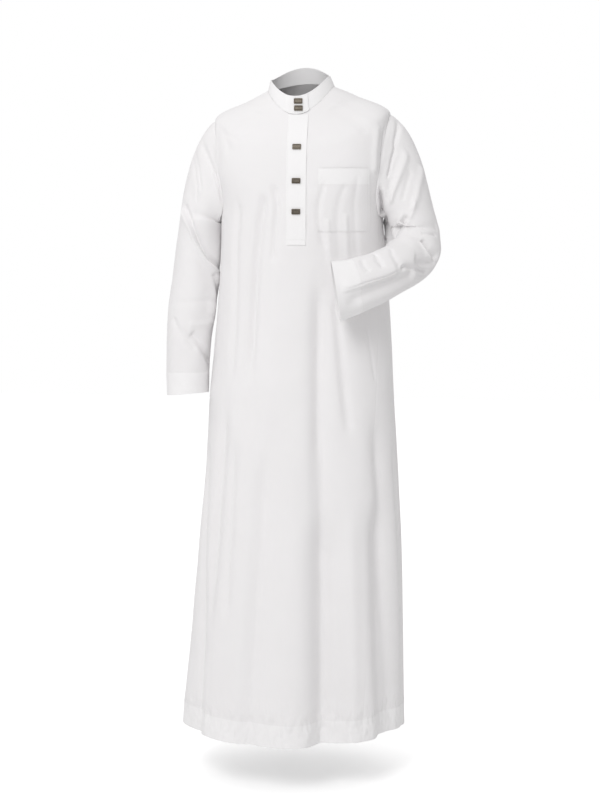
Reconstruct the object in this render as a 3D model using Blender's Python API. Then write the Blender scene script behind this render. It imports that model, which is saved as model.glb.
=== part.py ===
"""A long white thobe, hollow and open as it is worn, one sleeve hanging and the other bent.

Metres, +Z up. The front faces -Y and the wearer's left is +X. The origin is the middle of the neck
opening, where the wearer carries the garment.
"""

import math
from collections import namedtuple

import bpy
import numpy as np

# Cloth and gaps
CLOTH = 0.0016              # wall of the robe's cloth
COLLAR_CLOTH = 0.0022       # wall of the stiffened collar band
SEAM = 0.0003               # gap between two pieces at a seam
LAID = 0.0006               # gap under a piece that lies on a panel

# Front details
PANEL_HALF = 0.166          # half width of the straight centre panels below the arms
PLACKET_X = 0.003           # middle of the placket
PLACKET_WIDTH = 0.041
PLACKET_BOTTOM = -0.299
SLIT_WIDTH = 0.004
SLIT_BOTTOM = -0.272
POCKET_INNER = 0.048        # side of the pocket nearest the placket
POCKET_WIDTH = 0.102
POCKET_TOP = -0.142
POCKET_HEIGHT = 0.129

# Armhole and sleeve
ARMHOLE_SCOOP = 19.0        # degrees that the armhole bites into each panel
SCOOP_ROUNDNESS = 0.62      # lower is squarer at the armhole's ends
ARMHOLE_CLEARANCE = 0.0005
CAP_FULLNESS = 0.36         # reach of the cap's curve at its lower end, as a share of its span
CAP_STARTS = 0.13           # the same at the shoulder point, where the cap turns down at once
CROWN_RIGHT = 0.10          # what the very top of each cap adds to that
CROWN_LEFT = 0.18
CAP_LEAVES_TOP = (0.84, -0.54)      # outward and upward share of the cap's start at the shoulder
CAP_LEAVES_PIT = (0.45, -0.89)      # the same under the arm

# Collar
BAND_SEAT = 0.0006          # height of the band's edge over the neckline
BAND_OVERLAP_START = -12.0  # degrees from the front middle, under end of the band
BAND_OVERLAP_END = 20.0     # free end of the outer lap
BAND_STEP_FROM = -34.0      # where the band begins to step out over its under end

# Snap studs
STUD_WIDTH = 0.0180
STUD_HEIGHT = 0.0112
STUD_DEPTH = 0.0028
STUD_RIM = 0.0016
COLLAR_STUD_HEIGHTS = (0.30, 0.69)      # share of the band's height, from its top
PLACKET_STUD_HEIGHTS = (-0.098, -0.167, -0.230)

# Mesh density
FRONT_HALF_COLUMNS = 17
BACK_COLUMNS = 27
GORE_COLUMNS = 10
SHOULDER_ROWS = 4
ARMHOLE_ROWS = 9
SKIRT_ROWS = 17
CAP_STEPS = (0.0, 0.13, 0.28, 0.45, 0.63, 0.81, 1.0)

# The body's rings, from the neck to the hem. A ring's side, front and back points have heights of
# their own, so that the upper rings lie on the slope of the shoulders.
Ring = namedtuple("Ring", "side_z front_z back_z half_width front_depth back_depth "
                          "centre_x centre_y squareness left_rise")
NECK, INNER_SHOULDER, SHOULDER_TIP, CHEST, ARMPIT, WAIST, HIP, KNEE, HEM = range(9)
BODY_RINGS = [
    Ring(0.025, -0.030, 0.037, 0.070, 0.073, 0.067, 0.000, 0.000, 1.00, 0.004),
    Ring(0.004, -0.060, 0.006, 0.116, 0.090, 0.086, 0.000, 0.004, 1.00, 0.006),
    Ring(-0.035, -0.103, -0.058, 0.185, 0.110, 0.104, 0.002, 0.006, 0.86, 0.006),
    Ring(-0.134, -0.166, -0.148, 0.183, 0.119, 0.112, 0.001, 0.006, 0.72, 0.000),
    Ring(-0.238, -0.238, -0.238, 0.1705, 0.122, 0.110, 0.001, 0.004, 0.86, 0.000),
    Ring(-0.420, -0.420, -0.420, 0.182, 0.123, 0.118, 0.005, 0.002, 0.90, 0.000),
    Ring(-0.615, -0.615, -0.615, 0.1975, 0.137, 0.140, 0.002, 0.000, 0.94, 0.000),
    Ring(-0.966, -0.968, -0.966, 0.2245, 0.165, 0.165, -0.0035, -0.002, 0.98, 0.000),
    Ring(-1.332, -1.341, -1.332, 0.2475, 0.203, 0.188, -0.0155, -0.004, 1.00, 0.000),
]

# Long folds of the body: heights and angles of both ends, half widths in degrees, and how far the
# cloth stands out (or in, where negative) at each end. Angles run from the front middle to +X.
Fold = namedtuple("Fold", "top bottom angle_top angle_bottom width_top width_bottom out_top out_bottom")
BODY_FOLDS = [
    Fold(-0.17, -0.56, -21, -22, 6, 7, -0.003, -0.005),
    Fold(-0.30, -0.78, -30, -29, 7, 8, -0.003, -0.006),
    Fold(-0.14, -0.42, 17, 20, 7, 7, -0.002, -0.003),
    Fold(-0.14, -0.42, 35, 35, 8, 8, -0.002, -0.003),
    Fold(-0.36, -1.60, 12, 33, 8, 17, -0.005, -0.024),
    Fold(-0.38, -0.86, 27, 36, 7, 8, -0.005, -0.003),
    Fold(-0.60, -1.60, 55, 72, 8, 11, -0.005, -0.016),
    Fold(-0.58, -1.60, -9, -17, 8, 12, -0.004, -0.010),
    Fold(-0.62, -1.12, -46, -48, 7, 7, -0.004, -0.006),
    Fold(-0.94, -1.60, -55, -59, 8, 9, -0.004, -0.014),
    Fold(-0.52, -1.60, 88, 94, 9, 10, -0.004, -0.010),
    Fold(-0.62, -1.60, -84, -90, 10, 11, -0.004, -0.010),
    Fold(-0.235, -0.44, 86, 86, 13, 13, 0.010, 0.010),
    Fold(-0.10, -0.46, 150, 158, 8, 9, -0.004, -0.005),
    Fold(-0.10, -0.46, 210, 203, 8, 9, -0.004, -0.005),
    Fold(-0.22, -0.70, 176, 181, 8, 9, -0.003, -0.006),
    Fold(-0.40, -1.60, 168, 163, 8, 12, -0.005, -0.016),
    Fold(-0.46, -1.60, 197, 203, 8, 12, -0.004, -0.015),
    Fold(-0.54, -1.60, 141, 136, 8, 11, -0.004, -0.013),
    Fold(-0.60, -1.60, 226, 231, 8, 11, -0.004, -0.012),
    Fold(-0.84, -1.60, 114, 112, 10, 11, -0.003, -0.008),
    Fold(-0.88, -1.60, 246, 249, 10, 11, -0.003, -0.009),
]
BODY_FADE = 0.150           # length over which a body fold begins and ends

# A sleeve's rings from the armpit's level to the cuff: the edge nearest the body or the elbow's
# inner side, the edge opposite, the half depth across them, and the degrees by which the ring's
# front is turned towards the cuff.
SleeveRing = namedtuple("SleeveRing", "inner outer half_depth turned")
RIGHT_SLEEVE_RINGS = [
    SleeveRing((-0.1765, 0.004, -0.262), (-0.2570, 0.004, -0.224), 0.057, 0),
    SleeveRing((-0.1775, 0.002, -0.306), (-0.2665, 0.002, -0.292), 0.056, 0),
    SleeveRing((-0.1790, -0.002, -0.372), (-0.2770, -0.002, -0.372), 0.055, 0),
    SleeveRing((-0.1840, -0.008, -0.440), (-0.2850, -0.008, -0.440), 0.054, 0),
    SleeveRing((-0.1930, -0.014, -0.505), (-0.2880, -0.014, -0.505), 0.052, 0),
    SleeveRing((-0.1970, -0.019, -0.565), (-0.2885, -0.019, -0.566), 0.050, 0),
    SleeveRing((-0.1985, -0.023, -0.616), (-0.2860, -0.023, -0.624), 0.049, 0),
]
LEFT_SLEEVE_RINGS = [
    SleeveRing((0.1775, 0.004, -0.256), (0.2790, 0.000, -0.224), 0.056, 0),
    SleeveRing((0.1805, -0.004, -0.272), (0.2925, -0.002, -0.274), 0.055, 0),
    SleeveRing((0.1820, -0.019, -0.285), (0.2955, -0.010, -0.312), 0.054, 0),
    SleeveRing((0.1850, -0.042, -0.296), (0.2830, -0.028, -0.348), 0.050, 0),
    SleeveRing((0.1835, -0.068, -0.303), (0.2570, -0.062, -0.374), 0.050, 0),
    SleeveRing((0.1745, -0.105, -0.307), (0.2220, -0.100, -0.395), 0.048, 0),
    SleeveRing((0.1560, -0.132, -0.315), (0.1880, -0.127, -0.413), 0.047, 2),
    SleeveRing((0.1345, -0.152, -0.320), (0.1575, -0.148, -0.427), 0.046, 6),
    SleeveRing((0.1110, -0.167, -0.327), (0.1285, -0.164, -0.440), 0.046, 11),
    SleeveRing((0.0820, -0.180, -0.329), (0.1010, -0.178, -0.450), 0.046, 16),
]
RIGHT_SLEEVE_ROWS = 12
LEFT_SLEEVE_ROWS = 18

# Sleeve folds: start and end as shares of the length below the cap (0 armpit, 1 cuff), with angles
# around the sleeve from its outer edge (90 is the front, 180 the inner edge).
SleeveFold = namedtuple("SleeveFold", "start end angle_start angle_end width out")
RIGHT_SLEEVE_FOLDS = [
    SleeveFold(-0.10, 0.42, 60, 150, 26, -0.0040),
    SleeveFold(0.55, 0.92, 140, 60, 28, -0.0035),
    SleeveFold(0.30, 0.70, 320, 250, 28, -0.0040),
]
LEFT_SLEEVE_FOLDS = [
    SleeveFold(0.12, 0.40, 120, 60, 28, -0.0040),
    SleeveFold(0.42, 0.74, 120, 145, 28, -0.0035),
    SleeveFold(0.62, 0.90, 300, 260, 28, -0.0035),
]
SLEEVE_FADE = 0.14


def unit(vector):
    vector = np.asarray(vector, float)
    return vector / np.linalg.norm(vector, axis=-1, keepdims=True)


def smooth_step(value):
    value = np.clip(value, 0.0, 1.0)
    return value * value * (3 - 2 * value)


def smooth_curve(places, heights, at):
    """Reads a curve through the given heights without overshooting between them."""
    places = np.asarray(places, float)
    heights = np.asarray(heights, float)
    run = np.diff(places)
    rise = np.diff(heights) / run
    slope = np.zeros(len(places))
    same_way = rise[:-1] * rise[1:] > 0
    with np.errstate(divide="ignore", invalid="ignore"):
        mean = 2 * rise[:-1] * rise[1:] / (rise[:-1] + rise[1:])
    slope[1:-1] = np.where(same_way, mean, 0.0)
    slope[0] = rise[0]
    slope[-1] = rise[-1]
    at = np.clip(np.asarray(at, float), places[0], places[-1])
    k = np.clip(np.searchsorted(places, at, side="right") - 1, 0, len(run) - 1)
    t = (at - places[k]) / run[k]
    low_part = heights[k] * (1 + 2 * t) * (1 - t) ** 2 + heights[k + 1] * t * t * (3 - 2 * t)
    return low_part + run[k] * (slope[k] * t * (1 - t) ** 2 - slope[k + 1] * t * t * (1 - t))


def ring_value(column, station):
    heights = [getattr(ring, column) for ring in BODY_RINGS]
    return smooth_curve(range(len(BODY_RINGS)), heights, station)


def turn_between(angle, centre):
    """Signed difference of two angles in degrees, within half a turn."""
    return (angle - centre + 180.0) % 360.0 - 180.0


def body_fold(angle, z):
    out = np.zeros(np.broadcast(angle, z).shape)
    for fold in BODY_FOLDS:
        along = np.clip((fold.top - z) / (fold.top - fold.bottom), 0, 1)
        centre = fold.angle_top + (fold.angle_bottom - fold.angle_top) * along
        width = fold.width_top + (fold.width_bottom - fold.width_top) * along
        depth = fold.out_top + (fold.out_bottom - fold.out_top) * along
        begins = smooth_step((fold.top - z) / BODY_FADE)
        ends = smooth_step((z - fold.bottom) / BODY_FADE)
        bell = np.exp(-(turn_between(angle, centre) / width) ** 2)
        out += depth * begins * ends * bell
    return out


def body_point(angle, station):
    """Points of the body's outer surface, for angles in degrees from the front middle."""
    turn = np.radians(angle)
    sine = np.sin(turn)
    cosine = np.cos(turn)
    power = ring_value("squareness", station)
    half_width = ring_value("half_width", station)
    depth = np.where(cosine > 0, ring_value("front_depth", station), ring_value("back_depth", station))
    end_z = np.where(cosine > 0, ring_value("front_z", station), ring_value("back_z", station))
    across = np.sign(sine) * np.abs(sine) ** power
    ahead = np.sign(cosine) * np.abs(cosine) ** power
    z = (ring_value("side_z", station) * sine ** 2 + end_z * cosine ** 2
         + ring_value("left_rise", station) * sine)
    out = np.stack([sine / half_width, -cosine / depth], -1)
    out /= np.linalg.norm(out, axis=-1, keepdims=True)
    fold = body_fold(angle, z)
    x = ring_value("centre_x", station) + half_width * across + fold * out[..., 0]
    y = ring_value("centre_y", station) - depth * ahead + fold * out[..., 1]
    return np.stack([x, y, z], -1)


def angle_at(x, station):
    """Front angle whose surface point lies at x, leaving the folds aside."""
    share = (x - ring_value("centre_x", station)) / ring_value("half_width", station)
    power = ring_value("squareness", station)
    return np.degrees(np.arcsin(np.sign(share) * np.minimum(np.abs(share), 1) ** (1 / power)))


def front_surface_at(x, z):
    """Angle and station of the front surface at x and z, found by halving the stations."""
    low = np.full(np.shape(x), float(NECK))
    high = np.full(np.shape(x), float(HEM))
    for _ in range(40):
        middle = (low + high) / 2
        too_low = body_point(angle_at(x, middle), middle)[..., 2] < z
        high = np.where(too_low, middle, high)
        low = np.where(too_low, low, middle)
    return angle_at(x, low), low


def side_seam_angle(station):
    """Angle between the front middle and the front panel's side edge."""
    half_width = np.maximum(ring_value("half_width", station), PANEL_HALF)
    power = 1 / ring_value("squareness", station)
    below_arm = np.degrees(np.arcsin((PANEL_HALF / half_width) ** power))
    pit_width = max(float(ring_value("half_width", ARMPIT)), PANEL_HALF)
    pit = math.degrees(math.asin((PANEL_HALF / pit_width) ** (1 / BODY_RINGS[ARMPIT].squareness)))
    share = np.clip((station - SHOULDER_TIP) / (ARMPIT - SHOULDER_TIP), 0, 1)
    scoop = np.sin(np.pi * share) ** SCOOP_ROUNDNESS
    armhole = 90 - (90 - pit) * share - ARMHOLE_SCOOP * scoop
    return np.where(station < ARMPIT, armhole, below_arm)


def seam_shift(angle, station):
    """Degrees that span half a seam gap at the given place."""
    step = 0.05
    span = body_point(angle + step, station) - body_point(angle - step, station)
    return (SEAM / 2) / (np.linalg.norm(span, axis=-1) / (2 * step))


def body_rows(first, last):
    """Stations of the panels' mesh rows between two rings."""
    shoulder = np.linspace(NECK, SHOULDER_TIP, SHOULDER_ROWS + 1)
    armhole = np.linspace(SHOULDER_TIP, ARMPIT, ARMHOLE_ROWS + 1)
    heights = np.linspace(BODY_RINGS[ARMPIT].side_z, BODY_RINGS[HEM].side_z, SKIRT_ROWS + 1)
    places = [ring.side_z for ring in BODY_RINGS[ARMPIT:]]
    skirt = smooth_curve(-np.array(places), range(ARMPIT, HEM + 1), -heights)
    rows = np.unique(np.round(np.concatenate([shoulder, armhole, skirt]), 6))
    return rows[(rows >= first) & (rows <= last)]


def grid_normals(points, wraps):
    """Unit normals of a grid of points, rows running down and columns running around."""
    if wraps:
        around = np.roll(points, -1, 1) - np.roll(points, 1, 1)
    else:
        around = np.gradient(points, axis=1)
    down = np.gradient(points, axis=0)
    return unit(np.cross(down, around))


def body_normals(angle, station):
    """Unit normals of the body's surface, pointing out of it."""
    turn_step, down_step = 0.6, 0.04
    low = np.maximum(station - down_step, float(NECK))
    high = np.minimum(station + down_step, float(HEM))
    around = body_point(angle + turn_step, station) - body_point(angle - turn_step, station)
    down = body_point(angle, high) - body_point(angle, low)
    return unit(np.cross(down, around))


def new_material(name, colour, roughness, metallic=0.0):
    material = bpy.data.materials.new(name)
    material.use_nodes = True
    surface = material.node_tree.nodes["Principled BSDF"]
    surface.inputs["Base Color"].default_value = (*colour, 1.0)
    surface.inputs["Roughness"].default_value = roughness
    surface.inputs["Metallic"].default_value = metallic
    material.diffuse_color = (*colour, 1.0)
    return material


def add_mesh(name, vertices, faces, material, smooth=True):
    mesh = bpy.data.meshes.new(name)
    mesh.from_pydata([tuple(map(float, v)) for v in vertices], [], faces)
    mesh.materials.append(material)
    mesh.validate()
    if smooth:
        mesh.shade_smooth()
        mesh.set_sharp_from_angle(angle=math.radians(50))
    part = bpy.data.objects.new(name, mesh)
    bpy.context.scene.collection.objects.link(part)
    return part


def add_wall(name, outer, normals, wall, material, wraps=False, open_cells=()):
    """Makes a closed wall from a grid of outer points, with the cloth's thickness inside them."""
    rows, columns = outer.shape[:2]
    inner = outer - wall * normals
    vertices = np.concatenate([outer.reshape(-1, 3), inner.reshape(-1, 3)])
    shift = rows * columns
    faces = []
    edges = {}
    for row in range(rows - 1):
        for column in range(columns if wraps else columns - 1):
            if (row, column) in open_cells:
                continue
            beside = (column + 1) % columns
            a, b = row * columns + column, row * columns + beside
            c, d = a + columns, b + columns
            face = (a, c, d, b)
            faces.append(face)
            faces.append(tuple(corner + shift for corner in reversed(face)))
            for start, end in zip(face, face[1:] + face[:1]):
                if edges.pop((end, start), None) is None:
                    edges[(start, end)] = True
    for start, end in edges:
        faces.append((end, start, start + shift, end + shift))
    used = sorted({corner for face in faces for corner in face})
    place = {corner: k for k, corner in enumerate(used)}
    return add_mesh(name, vertices[used], [tuple(place[c] for c in face) for face in faces], material)


def panel_angles(left_angles, right_angles, columns):
    share = np.linspace(0, 1, columns + 1)
    return left_angles[:, None] + (right_angles - left_angles)[:, None] * share


def add_panel(name, angles, rows, material, open_cells=()):
    stations = np.repeat(rows[:, None], angles.shape[1], 1)
    outer = body_point(angles, stations)
    normals = body_normals(angles, stations)
    return add_wall(name, outer, normals, CLOTH, material, open_cells=open_cells)


def below_seam(rows):
    """Rows with the first moved down by half a seam gap, as stations."""
    moved = rows.copy()
    first_step = np.linalg.norm(body_point(0.0, rows[0] + 0.01) - body_point(0.0, rows[0]))
    moved[0] += 0.01 * (SEAM / 2) / first_step
    return moved


def build_front_panel(material):
    rows = below_seam(body_rows(NECK, HEM))
    edge = side_seam_angle(rows)
    edge = edge - seam_shift(edge, rows)
    half = FRONT_HALF_COLUMNS
    slit_left = angle_at(PLACKET_X - SLIT_WIDTH / 2, rows)
    slit_right = angle_at(PLACKET_X + SLIT_WIDTH / 2, rows)
    angles = np.concatenate([panel_angles(-edge, slit_left, half), panel_angles(slit_right, edge, half)], 1)
    middle_z = body_point(slit_left, rows)[:, 2]
    open_cells = {(k, half) for k in range(len(rows) - 1) if middle_z[k + 1] > SLIT_BOTTOM}
    return add_panel("front_panel", angles, rows, material, open_cells)


def build_back_panel(material):
    rows = below_seam(body_rows(NECK, HEM))
    edge = 180 - side_seam_angle(rows)
    edge = edge + seam_shift(edge, rows)
    return add_panel("back_panel", panel_angles(edge, 360 - edge, BACK_COLUMNS), rows, material)


def build_gore(name, side, material):
    rows = below_seam(body_rows(ARMPIT, HEM))
    front = side_seam_angle(np.maximum(rows, ARMPIT))
    back = 180 - front
    front = front + seam_shift(front, rows)
    back = back - seam_shift(back, rows)
    if side < 0:
        front, back = 360 - back, 360 - front
    return add_panel(name, panel_angles(front, back, GORE_COLUMNS), rows, material)


def armhole_places():
    """Angles and stations around the armhole: shoulder tip, down the front, under, up the back."""
    rows = body_rows(SHOULDER_TIP, ARMPIT)
    seam = side_seam_angle(rows)
    pit = side_seam_angle(np.array([float(ARMPIT)]))[0]
    under = np.linspace(pit, 180 - pit, GORE_COLUMNS + 1)[1:-1]
    angles = np.concatenate([seam, under, 180 - seam[:0:-1]])
    return angles, np.concatenate([rows, np.full(len(under), float(ARMPIT)), rows[:0:-1]])


def sleeve_frame(rings, shares):
    """Centres, half spans, depth directions and half depths along the sleeve below its cap."""
    inner = np.array([ring.inner for ring in rings])
    outer = np.array([ring.outer for ring in rings])
    depth = np.array([ring.half_depth for ring in rings])
    turned = np.radians([ring.turned for ring in rings])
    centre = (inner + outer) / 2
    length = np.concatenate([[0], np.cumsum(np.linalg.norm(np.diff(centre, axis=0), axis=1))])
    places = length / length[-1]

    def read(values):
        return np.stack([smooth_curve(places, values[:, k], shares) for k in range(3)], -1)

    inner, outer = read(inner), read(outer)
    centre, span = (inner + outer) / 2, (outer - inner) / 2
    axis = unit(np.gradient(centre, axis=0))
    front = unit(np.cross(axis, span))
    front *= np.sign(np.sum(front * np.array([0, -1, 0]), -1, keepdims=True))
    front += axis * np.tan(smooth_curve(places, turned, shares))[:, None]
    return centre, span, front, smooth_curve(places, depth, shares), axis


def sleeve_grid(side, rings, folds, row_count):
    seam_angles, seam_stations = armhole_places()
    start = body_point(side * seam_angles, seam_stations)
    gaps = np.linalg.norm(np.roll(start, -1, 0) - start, axis=1)
    around = np.concatenate([[0], np.cumsum(gaps)[:-1]]) / gaps.sum() * 2 * math.pi
    start = start + np.array([side * ARMHOLE_CLEARANCE, 0, 0])
    shares = np.linspace(0, 1, row_count + 1)
    centre, span, front, depth, axis = sleeve_frame(rings, shares)
    tube = (centre[:, None] + span[:, None] * np.cos(around)[None, :, None]
            + (front * depth[:, None])[:, None] * np.sin(around)[None, :, None])

    lowness = (1 - np.cos(around)) / 2
    leave_top = unit((side * CAP_LEAVES_TOP[0], 0, CAP_LEAVES_TOP[1]))
    leave_pit = unit((side * CAP_LEAVES_PIT[0], 0, CAP_LEAVES_PIT[1]))
    leave = unit(leave_top + (leave_pit - leave_top) * lowness[:, None])
    seam_normals = body_normals(side * seam_angles, seam_stations)
    along_cloth = (np.sin(around) ** 2 * np.minimum(1, 2 * (1 - lowness)))[:, None]
    leave = unit(leave - along_cloth * seam_normals * np.sum(leave * seam_normals, -1, keepdims=True))
    span_across = np.linalg.norm(tube[0] - start, axis=1)[:, None]
    crown = (CROWN_LEFT if side > 0 else CROWN_RIGHT) * np.maximum(np.cos(around), 0) ** 3
    starts = (CAP_STARTS + (CAP_FULLNESS - CAP_STARTS) * lowness + crown)[:, None]
    first_handle = start + leave * span_across * starts
    second_handle = tube[0] - axis[0] * span_across * CAP_FULLNESS
    cap = []
    for t in CAP_STEPS[:-1]:
        cap.append(start * (1 - t) ** 3 + first_handle * 3 * t * (1 - t) ** 2
                   + second_handle * 3 * t * t * (1 - t) + tube[0] * t ** 3)
    cap_shares = -0.5 * (1 - np.array(CAP_STEPS[:-1]))
    points = np.concatenate([np.array(cap), tube])
    along = np.concatenate([cap_shares, shares])
    return bend_sleeve_folds(points, along, np.degrees(around), folds)


def bend_sleeve_folds(points, along, angles, folds):
    normals = grid_normals(points, True)
    normals *= np.sign(np.sum(normals * (points - points.mean(1, keepdims=True))))
    out = np.zeros(points.shape[:2])
    for fold in folds:
        share = np.clip((along - fold.start) / (fold.end - fold.start), 0, 1)
        centre = fold.angle_start + (fold.angle_end - fold.angle_start) * share
        begins = smooth_step((along - fold.start + SLEEVE_FADE) / SLEEVE_FADE)
        ends = smooth_step((fold.end + SLEEVE_FADE - along) / SLEEVE_FADE)
        bell = np.exp(-(turn_between(angles[None], centre[:, None]) / fold.width) ** 2)
        out += fold.out * (begins * ends)[:, None] * bell
    return points + normals * out[..., None]


def build_sleeve(name, side, rings, folds, row_count, material):
    outer = sleeve_grid(side, rings, folds, row_count)
    if side > 0:
        outer = outer[:, ::-1]
    return add_wall(name, outer, grid_normals(outer, True), CLOTH, material, wraps=True)


# The band collar's top edge, as a ring like the body's
BAND_TOP = Ring(0.0475, 0.0075, 0.072, 0.0625, 0.0665, 0.0615, -0.002, 0.001, 1.00, 0.0035)


def band_point(angle, rise, step_out):
    """Point of the collar's outer face; rise runs from 0 at its seam to 1 at its top edge."""
    base = body_point(angle, np.zeros_like(angle))
    turn = np.radians(angle)
    sine, cosine = np.sin(turn), np.cos(turn)
    depth = np.where(cosine > 0, BAND_TOP.front_depth, BAND_TOP.back_depth)
    end_z = np.where(cosine > 0, BAND_TOP.front_z, BAND_TOP.back_z)
    top = np.stack([BAND_TOP.centre_x + BAND_TOP.half_width * sine,
                    BAND_TOP.centre_y - depth * cosine,
                    BAND_TOP.side_z * sine ** 2 + end_z * cosine ** 2 + BAND_TOP.left_rise * sine], -1)
    out = np.stack([sine, -cosine, np.zeros_like(sine)], -1)
    seat = np.array([0, 0, BAND_SEAT])
    point = (base + seat) * (1 - rise[..., None]) + top * rise[..., None]
    return point + out * step_out[..., None]


def collar_step_out(angle):
    """How far the band stands out where its outer lap covers the under end."""
    full_at = 360 + BAND_OVERLAP_START - 4
    share = smooth_step((angle - (360 + BAND_STEP_FROM)) / (full_at - 360 - BAND_STEP_FROM))
    return (COLLAR_CLOTH + LAID) * share


def build_collar(material):
    angles = np.linspace(BAND_OVERLAP_START, 360 + BAND_OVERLAP_END, 57)
    rise = np.linspace(1, 0, 4)
    angle_grid, rise_grid = np.meshgrid(angles, rise)
    outer = band_point(angle_grid, rise_grid, collar_step_out(angle_grid))
    return add_wall("collar_band", outer, grid_normals(outer, False), COLLAR_CLOTH, material)


def front_patch(x_values, z_values, out):
    """Grid of points that follow the front surface, moved out by a distance, and its normals."""
    x_grid, z_grid = np.meshgrid(x_values, z_values)
    angle, station = front_surface_at(x_grid, z_grid)
    normals = body_normals(angle, station)
    return body_point(angle, station) + normals * out, normals


def build_placket(material):
    half = PLACKET_WIDTH / 2
    x_values = np.linspace(PLACKET_X - half, PLACKET_X + half, 5)
    neck_z = float(body_point(0.0, 0.0)[2])
    z_values = np.linspace(neck_z - 0.0042, PLACKET_BOTTOM, 17)
    outer, normals = front_patch(x_values, z_values, LAID + CLOTH)
    return add_wall("front_placket", outer, normals, CLOTH, material)


def build_pocket(material):
    x_values = np.linspace(POCKET_INNER, POCKET_INNER + POCKET_WIDTH, 15)
    z_values = np.linspace(POCKET_TOP, POCKET_TOP - POCKET_HEIGHT, 12)
    outer, normals = front_patch(x_values, z_values, LAID + CLOTH)
    return add_wall("chest_pocket", outer, normals, CLOTH, material)


def build_stud(number, centre, outward, material):
    """A rectangular snap cap with a raised rim, its back face just off the cloth."""
    across = unit(np.cross((0, 0, 1), outward))
    upward = np.cross(outward, across)

    def rectangle(width, height, lift):
        corners = [(-1, -1), (1, -1), (1, 1), (-1, 1)]
        return [centre + across * sx * width / 2 + upward * sy * height / 2 + outward * lift
                for sx, sy in corners]

    chamfer = 0.0006
    inset = 2 * STUD_RIM
    recess = 0.0009
    loops = [
        rectangle(STUD_WIDTH - chamfer, STUD_HEIGHT - chamfer, 0),
        rectangle(STUD_WIDTH, STUD_HEIGHT, chamfer),
        rectangle(STUD_WIDTH, STUD_HEIGHT, STUD_DEPTH - chamfer),
        rectangle(STUD_WIDTH - 2 * chamfer, STUD_HEIGHT - 2 * chamfer, STUD_DEPTH),
        rectangle(STUD_WIDTH - inset, STUD_HEIGHT - inset, STUD_DEPTH),
        rectangle(STUD_WIDTH - inset - chamfer, STUD_HEIGHT - inset - chamfer, STUD_DEPTH - recess),
    ]
    vertices = [corner for loop in loops for corner in loop]
    faces = [(3, 2, 1, 0)]
    for level in range(len(loops) - 1):
        for side in range(4):
            low, high = 4 * level, 4 * level + 4
            beside = (side + 1) % 4
            faces.append((low + side, low + beside, high + beside, high + side))
    last = 4 * (len(loops) - 1)
    faces.append((last, last + 1, last + 2, last + 3))
    return add_mesh(f"snap_stud_{number}", vertices, faces, material, smooth=False)


def build_studs(material):
    seats = []
    angle = np.degrees(math.asin(PLACKET_X / BAND_TOP.half_width)) + np.array([356.0, 360.0, 364.0])
    for drop in COLLAR_STUD_HEIGHTS:
        rises = 1 - drop + np.array([0.1, 0.0, -0.1])
        angle_grid, rise_grid = np.meshgrid(angle, rises)
        patch = band_point(angle_grid, rise_grid, collar_step_out(angle_grid))
        seats.append((patch[1, 1], grid_normals(patch, False)[1, 1]))
    for z in PLACKET_STUD_HEIGHTS:
        points, normals = front_patch([PLACKET_X], [z], LAID + CLOTH)
        seats.append((points[0, 0], normals[0, 0]))
    for number, (seat, outward) in enumerate(seats, 1):
        build_stud(number, seat + outward * LAID, outward, material)


def clear_scene():
    for item in list(bpy.data.objects):
        bpy.data.objects.remove(item, do_unlink=True)


def main():
    clear_scene()
    cloth = new_material("white_cloth", (0.86, 0.86, 0.85), 0.85)
    metal = new_material("aged_metal", (0.36, 0.33, 0.29), 0.40, 0.90)
    build_front_panel(cloth)
    build_back_panel(cloth)
    build_gore("side_gore_right", -1, cloth)
    build_gore("side_gore_left", 1, cloth)
    build_sleeve("sleeve_right", -1, RIGHT_SLEEVE_RINGS, RIGHT_SLEEVE_FOLDS, RIGHT_SLEEVE_ROWS, cloth)
    build_sleeve("sleeve_left", 1, LEFT_SLEEVE_RINGS, LEFT_SLEEVE_FOLDS, LEFT_SLEEVE_ROWS, cloth)
    build_collar(cloth)
    build_placket(cloth)
    build_pocket(cloth)
    build_studs(metal)


main()
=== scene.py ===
"""Looks of the white thobe: cloth shells with their folds, seams and stitching, and metal snaps.

Metres, in the part's own frame: +Z up, the front faces -Y, the wearer's left is +X.
"""

import math
from collections import namedtuple

import bpy
import numpy as np
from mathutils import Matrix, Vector


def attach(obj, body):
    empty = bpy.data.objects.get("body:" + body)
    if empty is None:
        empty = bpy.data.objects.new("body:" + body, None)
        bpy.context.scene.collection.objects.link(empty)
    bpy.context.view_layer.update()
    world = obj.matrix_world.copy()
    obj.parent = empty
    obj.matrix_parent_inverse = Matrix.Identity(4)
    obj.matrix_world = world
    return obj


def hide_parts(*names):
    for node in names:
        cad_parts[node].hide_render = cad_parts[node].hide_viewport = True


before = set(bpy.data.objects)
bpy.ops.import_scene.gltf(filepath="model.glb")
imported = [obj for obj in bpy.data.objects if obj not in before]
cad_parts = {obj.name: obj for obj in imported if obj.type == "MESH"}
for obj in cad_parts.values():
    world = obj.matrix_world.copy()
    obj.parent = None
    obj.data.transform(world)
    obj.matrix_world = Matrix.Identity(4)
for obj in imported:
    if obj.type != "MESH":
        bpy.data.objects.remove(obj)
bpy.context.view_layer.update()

# ---- the robe's form, as in its solids
PANEL_HALF = 0.166          # half width of the centre panels below the arms
PLACKET_X = 0.003
PLACKET_WIDTH = 0.041
PLACKET_BOTTOM = -0.299
SLIT_WIDTH = 0.004
SLIT_BOTTOM = -0.272
POCKET_INNER = 0.048        # side of the pocket nearest the placket
POCKET_WIDTH = 0.102
POCKET_TOP = -0.142
POCKET_HEIGHT = 0.129
ARMHOLE_SCOOP = 19.0        # degrees that the armhole bites into each panel
SCOOP_ROUNDNESS = 0.62
CAP_FULLNESS = 0.36         # reach of a sleeve cap's curve at its lower end, as a share of its span
CAP_STARTS = 0.13           # the same at the shoulder point
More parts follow.
